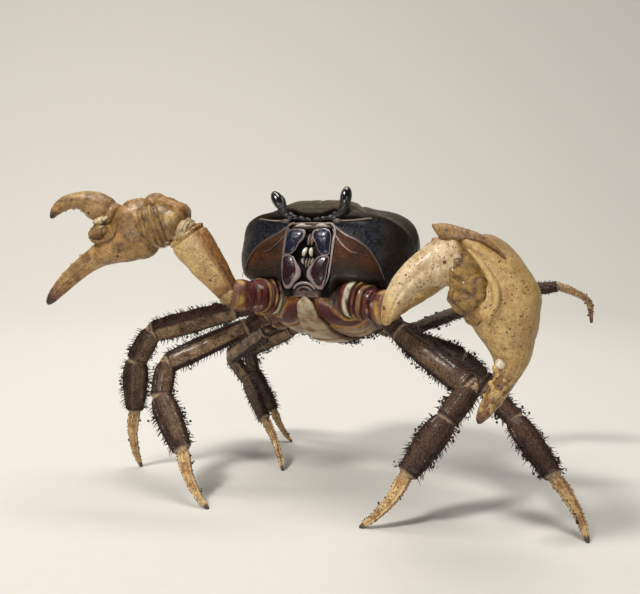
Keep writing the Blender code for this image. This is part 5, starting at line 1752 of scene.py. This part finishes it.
# a crumb's corners before they are jittered: an icosahedron of radius 1
GOLDEN = 1.618
CRUMB = np.array([np.roll((s, t * GOLDEN, 0), turn)
                  for turn in range(3) for s in (-1, 1) for t in (-1, 1)]) / 1.9
CRUMB_FACES = [(a, b, c) for a in range(12) for b in range(12) for c in range(12)
               if a < b and a < c and b != c
               and max(np.linalg.norm(CRUMB[a] - CRUMB[b]), np.linalg.norm(CRUMB[b] - CRUMB[c]),
                       np.linalg.norm(CRUMB[a] - CRUMB[c])) < 1.1
               and np.linalg.det(CRUMB[[a, b, c]]) > 0]


def scatter_crumbs(pile, centres, radii, rng):
    """Small uneven lumps: jittered icosahedra of these radii at these centres."""
    n = len(centres)
    shape = CRUMB[None] * rng.uniform(0.65, 1.25, (n, 12, 1)) * rng.uniform(0.6, 1.3, (n, 1, 3))
    points = centres[:, None] + shape * radii[:, None, None]
    faces = np.array(CRUMB_FACES) + (np.arange(n) * 12)[:, None, None]
    pile.add(points.reshape(-1, 3), np.zeros((0, 4), int), faces.reshape(-1, 3), {})


def build_crumbs(side, number):
    """Crumbs of soil caught between the bristles under one walking leg, in loose clusters."""
    plates = leg_plates(side, number)[0]
    rng = np.random.default_rng(700 + 10 * number + (1 if side == "left" else 0))
    pile = Pile()
    more = 1 if side == "right" else 2
    for part, clusters, each in (("thigh", 9 * more, 13), ("knee", 5 * more, 12), ("shin", 8 * more, 14),
                                 ("toe", 4, 5)):
        grid = plates[part][0]
        normal = surface_normals(grid)
        count = grid.shape[1]
        low = 0.55 if part == "thigh" else 0.1
        for _ in range(clusters):
            row = int(len(grid) * rng.uniform(low, 0.9))
            column = int((0.5 + rng.choice((0, 0.5), p=(0.3, 0.7)) + rng.normal(0, 0.045)) * count) % count
            spread = 0.45 if part == "toe" else rng.uniform(0.5, 1.2)
            centres = grid[row, column] + normal[row, column] * spread * rng.uniform(-0.2, 1.6, (each, 1))
            centres = centres + rng.normal(0, spread, (each, 3))
            radii = 0.22 + 0.55 * rng.uniform(0, 1, each) ** 2.5
            keep = centres[:, 2] > CLEAR_OF_FLOOR
            scatter_crumbs(pile, centres[keep], radii[keep], rng)
    pile.piece(f"crumbs_leg_{side}_{number}", soil_material(), "leg")


def build_bristles(side, number):
    """All bristles of one walking leg, as one piece."""
    plates = leg_plates(side, number)[0]
    rng = np.random.default_rng(300 + 10 * number + (1 if side == "left" else 0))
    size = bpy.context.scene.crab_sizes
    pile = Pile()
    for part, rows in BRISTLE_ROWS.items():
        plant_rows(pile, plates[part], rows, MAP_BANDS[part], size, rng)
    pile.piece(f"bristles_leg_{side}_{number}", bristle_material(), "leg")


# ---------------------------------------------------------------- stage

def soft_light(name, place, aim, size, watts, tint):
    """A square soft light at a place, turned to face a point."""
    light = bpy.data.lights.new(name, "AREA")
    light.shape = "SQUARE"
    light.size = size
    light.energy = watts
    light.color = tint
    lamp = bpy.data.objects.new(name, light)
    bpy.context.scene.collection.objects.link(lamp)
    lamp.location = place
    lamp.rotation_euler = (Vector(aim) - Vector(place)).to_track_quat("-Z", "Y").to_euler()


# floor, in metres: radius of its flat middle, then how far its rim sweeps out and up
FLOOR_RADIUS = 0.9
FLOOR_SWEEP = (1.6, 1.7)
FLOOR_COLUMNS = 96


def build_floor(tint):
    """A pale round floor whose far rim sweeps up along a quarter of an ellipse."""
    rise = np.linspace(0.04, math.pi / 2, 24)
    out, up = FLOOR_SWEEP
    radius = np.concatenate((np.linspace(0.02, FLOOR_RADIUS, 8), FLOOR_RADIUS + out * np.sin(rise)))[:, None]
    height = np.concatenate((np.zeros(8), up - up * np.cos(rise)))[:, None]
    turn = np.arange(FLOOR_COLUMNS) * math.tau / FLOOR_COLUMNS
    grid = np.stack(np.broadcast_arrays(radius * np.cos(turn), radius * np.sin(turn), height), axis=-1)
    mesh = bpy.data.meshes.new("floor")
    faces = ring_quads(len(radius), FLOOR_COLUMNS)[:, ::-1].tolist() + [list(range(FLOOR_COLUMNS))]
    mesh.from_pydata(grid.reshape(-1, 3).tolist(), [], faces)
    mesh.shade_smooth()
    t = Paint("floor", 0.02, 0.75, specular=0.2)
    t.cover(tint, (t.fine, tint * 0.985))
    mesh.materials.append(t.material)
    floor = bpy.data.objects.new("floor", mesh)
    bpy.context.scene.collection.objects.link(floor)


def build_stage():
    """The floor, soft lights, and the camera."""
    stage = bpy.context.scene.crab_stage
    build_floor(stage.floor)
    aim = tuple(v * MM for v in CAMERA_AIM)
    soft_light("key", (-0.30, -0.70, 1.05), aim, 0.20, stage.key_watts, (1, 0.985, 0.95))
    soft_light("fill", (0.85, -0.75, 0.45), aim, 0.5, stage.fill_watts, (0.95, 0.97, 1))
    soft_light("top", (0.10, 0.05, 1.15), aim, 0.5, stage.top_watts, (1, 0.99, 0.97))
    soft_light("front", (0.05, -1.05, 0.16), aim, 0.35, stage.front_watts, (1, 0.985, 0.96))
    soft_light("wall light", (-0.5, 0.3, 1.5), (-1, 2.2, 0.55), 0.9, stage.wall_watts, (1, 0.985, 0.95))
    world = bpy.context.scene.world or bpy.data.worlds.new("studio")
    bpy.context.scene.world = world
    world.use_nodes = True
    air = world.node_tree.nodes["Background"]
    air.inputs["Color"].default_value = (1, 0.985, 0.955, 1)
    air.inputs["Strength"].default_value = stage.air
    turn, rise = math.radians(CAMERA_TURN), math.radians(CAMERA_RISE)
    back = Vector((math.sin(turn) * math.cos(rise), -math.cos(turn) * math.cos(rise), math.sin(rise)))
    camera = bpy.data.objects.new("camera", bpy.data.cameras.new("camera"))
    camera.data.lens = CAMERA_LENS
    camera.data.sensor_width = 36
    camera.data.clip_start = 0.01
    camera.location = Vector(aim) + back * (CAMERA_DISTANCE * MM)
    camera.rotation_euler = back.to_track_quat("Z", "Y").to_euler()
    bpy.context.scene.collection.objects.link(camera)
    bpy.context.scene.camera = camera
    bpy.context.scene.view_settings.view_transform = "Standard"


# ---------------------------------------------------------------- add-on

def colour_setting(name, description, default):
    """A colour that a user may change."""
    return bpy.props.FloatVectorProperty(
        name=name, description=description, default=default, size=3, min=0, max=1, subtype="COLOR")


class CrabColours(bpy.types.PropertyGroup):
    """Main colours of the shell plates."""
    shell_olive: colour_setting("Shell olive", "Lighter patches of the back", (0.080, 0.058, 0.031))
    shell_dark: colour_setting("Shell dark", "Darker patches of the back", (0.012, 0.008, 0.0035))
    shell_blue: colour_setting("Shell blue", "Grain tops beside the orbits", (0.017, 0.018, 0.025))
    shell_rust: colour_setting("Shell rust", "Grain tops beside the mouth", (0.085, 0.028, 0.007))
    mouth_border: colour_setting("Mouth border", "Borders of the jaw plates", (0.24, 0.185, 0.18))
    claw_ivory: colour_setting("Claw ivory", "Ground colour of the claws", (0.49, 0.335, 0.130))
    claw_brown: colour_setting("Claw brown", "Upper side of the claws", (0.17, 0.072, 0.016))
    claw_tip: colour_setting("Claw tip", "Worn points of the fingers", (0.030, 0.014, 0.008))
    belly_tan: colour_setting("Belly tan", "Breast plate and tail", (0.36, 0.235, 0.11))
    leg_plum: colour_setting("Leg plum", "Darker patches of the legs", (0.026, 0.009, 0.006))
    leg_grey: colour_setting("Leg grey", "Lighter patches of the legs", (0.062, 0.031, 0.018))
    leg_tan: colour_setting("Leg tan", "Smooth faces of the thighs", (0.27, 0.185, 0.112))
    toe_tan: colour_setting("Toe tan", "Ground colour of the toes", (0.52, 0.34, 0.145))


def size_setting(name, description, default, low, high):
    """A length that a user may change."""
    return bpy.props.FloatProperty(
        name=name, description=description, default=default, min=low, max=high, unit="LENGTH")


def watts_setting(name, description, default):
    """A lamp's power that a user may change."""
    return bpy.props.FloatProperty(name=name, description=description, default=default, min=0, unit="POWER")


class CrabSizes(bpy.types.PropertyGroup):
    """Sizes of what grows on the plates."""
    bristle_length: size_setting("Bristle length", "Longest bristles on the leg edges", 0.0040, 0.001, 0.008)
    bristle_width: size_setting("Bristle width", "Thickness of a bristle at its root", 0.00060, 0.0001, 0.001)
    bristle_spacing: size_setting("Bristle spacing", "Distance between bristles", 0.0016, 0.0003, 0.003)


class CrabStage(bpy.types.PropertyGroup):
    """Floor and lights."""
    floor: colour_setting("Floor", "Floor and backdrop", (0.545, 0.525, 0.480))
    key_watts: watts_setting("Key", "Main soft light", 14.5)
    fill_watts: watts_setting("Fill", "Side light", 1.6)
    top_watts: watts_setting("Top", "Light from above", 6.5)
    front_watts: watts_setting("Front", "Low light from the front", 4)
    wall_watts: watts_setting("Wall", "Light on the backdrop", 34)
    air: bpy.props.FloatProperty(name="Air", description="Light from all round", default=0.07, min=0)


class CRAB_OT_shell(bpy.types.Operator):
    """Build the back shell with the face below it"""
    bl_idname = "crab.shell"
    bl_label = "Shell"

    def execute(self, context):
        build_shell()
        return {"FINISHED"}


class CRAB_OT_face(bpy.types.Operator):
    """Build the crests, lobes and feelers of the face"""
    bl_idname = "crab.face"
    bl_label = "Face"

    def execute(self, context):
        build_face()
        return {"FINISHED"}


class CRAB_OT_jaws(bpy.types.Operator):
    """Build the outer jaw plates and the teeth behind them"""
    bl_idname = "crab.jaws"
    bl_label = "Jaws"

    def execute(self, context):
        build_jaws()
        return {"FINISHED"}


class CRAB_OT_eyes(bpy.types.Operator):
    """Build the eyes and their stalks"""
    bl_idname = "crab.eyes"
    bl_label = "Eyes"

    def execute(self, context):
        build_eyes()
        return {"FINISHED"}


class CRAB_OT_belly(bpy.types.Operator):
    """Build the breast plate and the folded tail"""
    bl_idname = "crab.belly"
    bl_label = "Belly"

    def execute(self, context):
        build_breast()
        build_tail()
        for side in SIDES:
            build_leg_bases(side)
        return {"FINISHED"}


class CRAB_OT_arms(bpy.types.Operator):
    """Build both claw arms up to the wrist"""
    bl_idname = "crab.arms"
    bl_label = "Claw arms"

    def execute(self, context):
        for side in SIDES:
            build_arm(side)
        return {"FINISHED"}


class CRAB_OT_claws(bpy.types.Operator):
    """Build both hands, their moving fingers and the skin between"""
    bl_idname = "crab.claws"
    bl_label = "Claws"

    def execute(self, context):
        for side in SIDES:
            build_palm(side)
            build_finger(side)
        build_hinges()
        return {"FINISHED"}


class CRAB_OT_legs(bpy.types.Operator):
    """Build the eight walking legs"""
    bl_idname = "crab.legs"
    bl_label = "Walking legs"

    def execute(self, context):
        for side, number in LEG_POSE:
            build_leg(side, number)
        return {"FINISHED"}


class CRAB_OT_bristles(bpy.types.Operator):
    """Build the bristles of the walking legs"""
    bl_idname = "crab.bristles"
    bl_label = "Bristles"

    def execute(self, context):
        for side, number in LEG_POSE:
            build_bristles(side, number)
        return {"FINISHED"}


class CRAB_OT_crumbs(bpy.types.Operator):
    """Build the crumbs of soil caught between the bristles"""
    bl_idname = "crab.crumbs"
    bl_label = "Crumbs"

    def execute(self, context):
        for side, number in LEG_POSE:
            build_crumbs(side, number)
        build_belly_crumbs()
        return {"FINISHED"}


class CRAB_OT_stage(bpy.types.Operator):
    """Build the floor, the lights and the camera"""
    bl_idname = "crab.stage"
    bl_label = "Stage"

    def execute(self, context):
        build_stage()
        return {"FINISHED"}


OPERATORS = (CRAB_OT_shell, CRAB_OT_face, CRAB_OT_jaws, CRAB_OT_eyes, CRAB_OT_belly, CRAB_OT_arms,
             CRAB_OT_claws, CRAB_OT_legs, CRAB_OT_bristles, CRAB_OT_crumbs, CRAB_OT_stage)


class CRAB_PT_panel(bpy.types.Panel):
    """Lists the builders in the sidebar"""
    bl_label = "Brown Land Crab"
    bl_idname = "CRAB_PT_panel"
    bl_space_type = "VIEW_3D"
    bl_region_type = "UI"
    bl_category = "Crab"

    def draw(self, context):
        for operator in OPERATORS:
            self.layout.operator(operator.bl_idname)


SETTINGS = {"crab_colours": CrabColours, "crab_sizes": CrabSizes, "crab_stage": CrabStage}
CLASSES = (*SETTINGS.values(), *OPERATORS, CRAB_PT_panel)


def register():
    """Adds the settings, the builders and the panel."""
    for kind in CLASSES:
        bpy.utils.register_class(kind)
    for name, group in SETTINGS.items():
        setattr(bpy.types.Scene, name, bpy.props.PointerProperty(type=group))


def unregister():
    """Takes them away again."""
    for name in SETTINGS:
        delattr(bpy.types.Scene, name)
    for kind in reversed(CLASSES):
        bpy.utils.unregister_class(kind)


def main():
    """Adds the settings and builders, then runs every builder in order."""
    register()
    for operator in OPERATORS:
        getattr(bpy.ops.crab, operator.bl_idname.split(".")[1])()


if __name__ == "__main__":
    main()
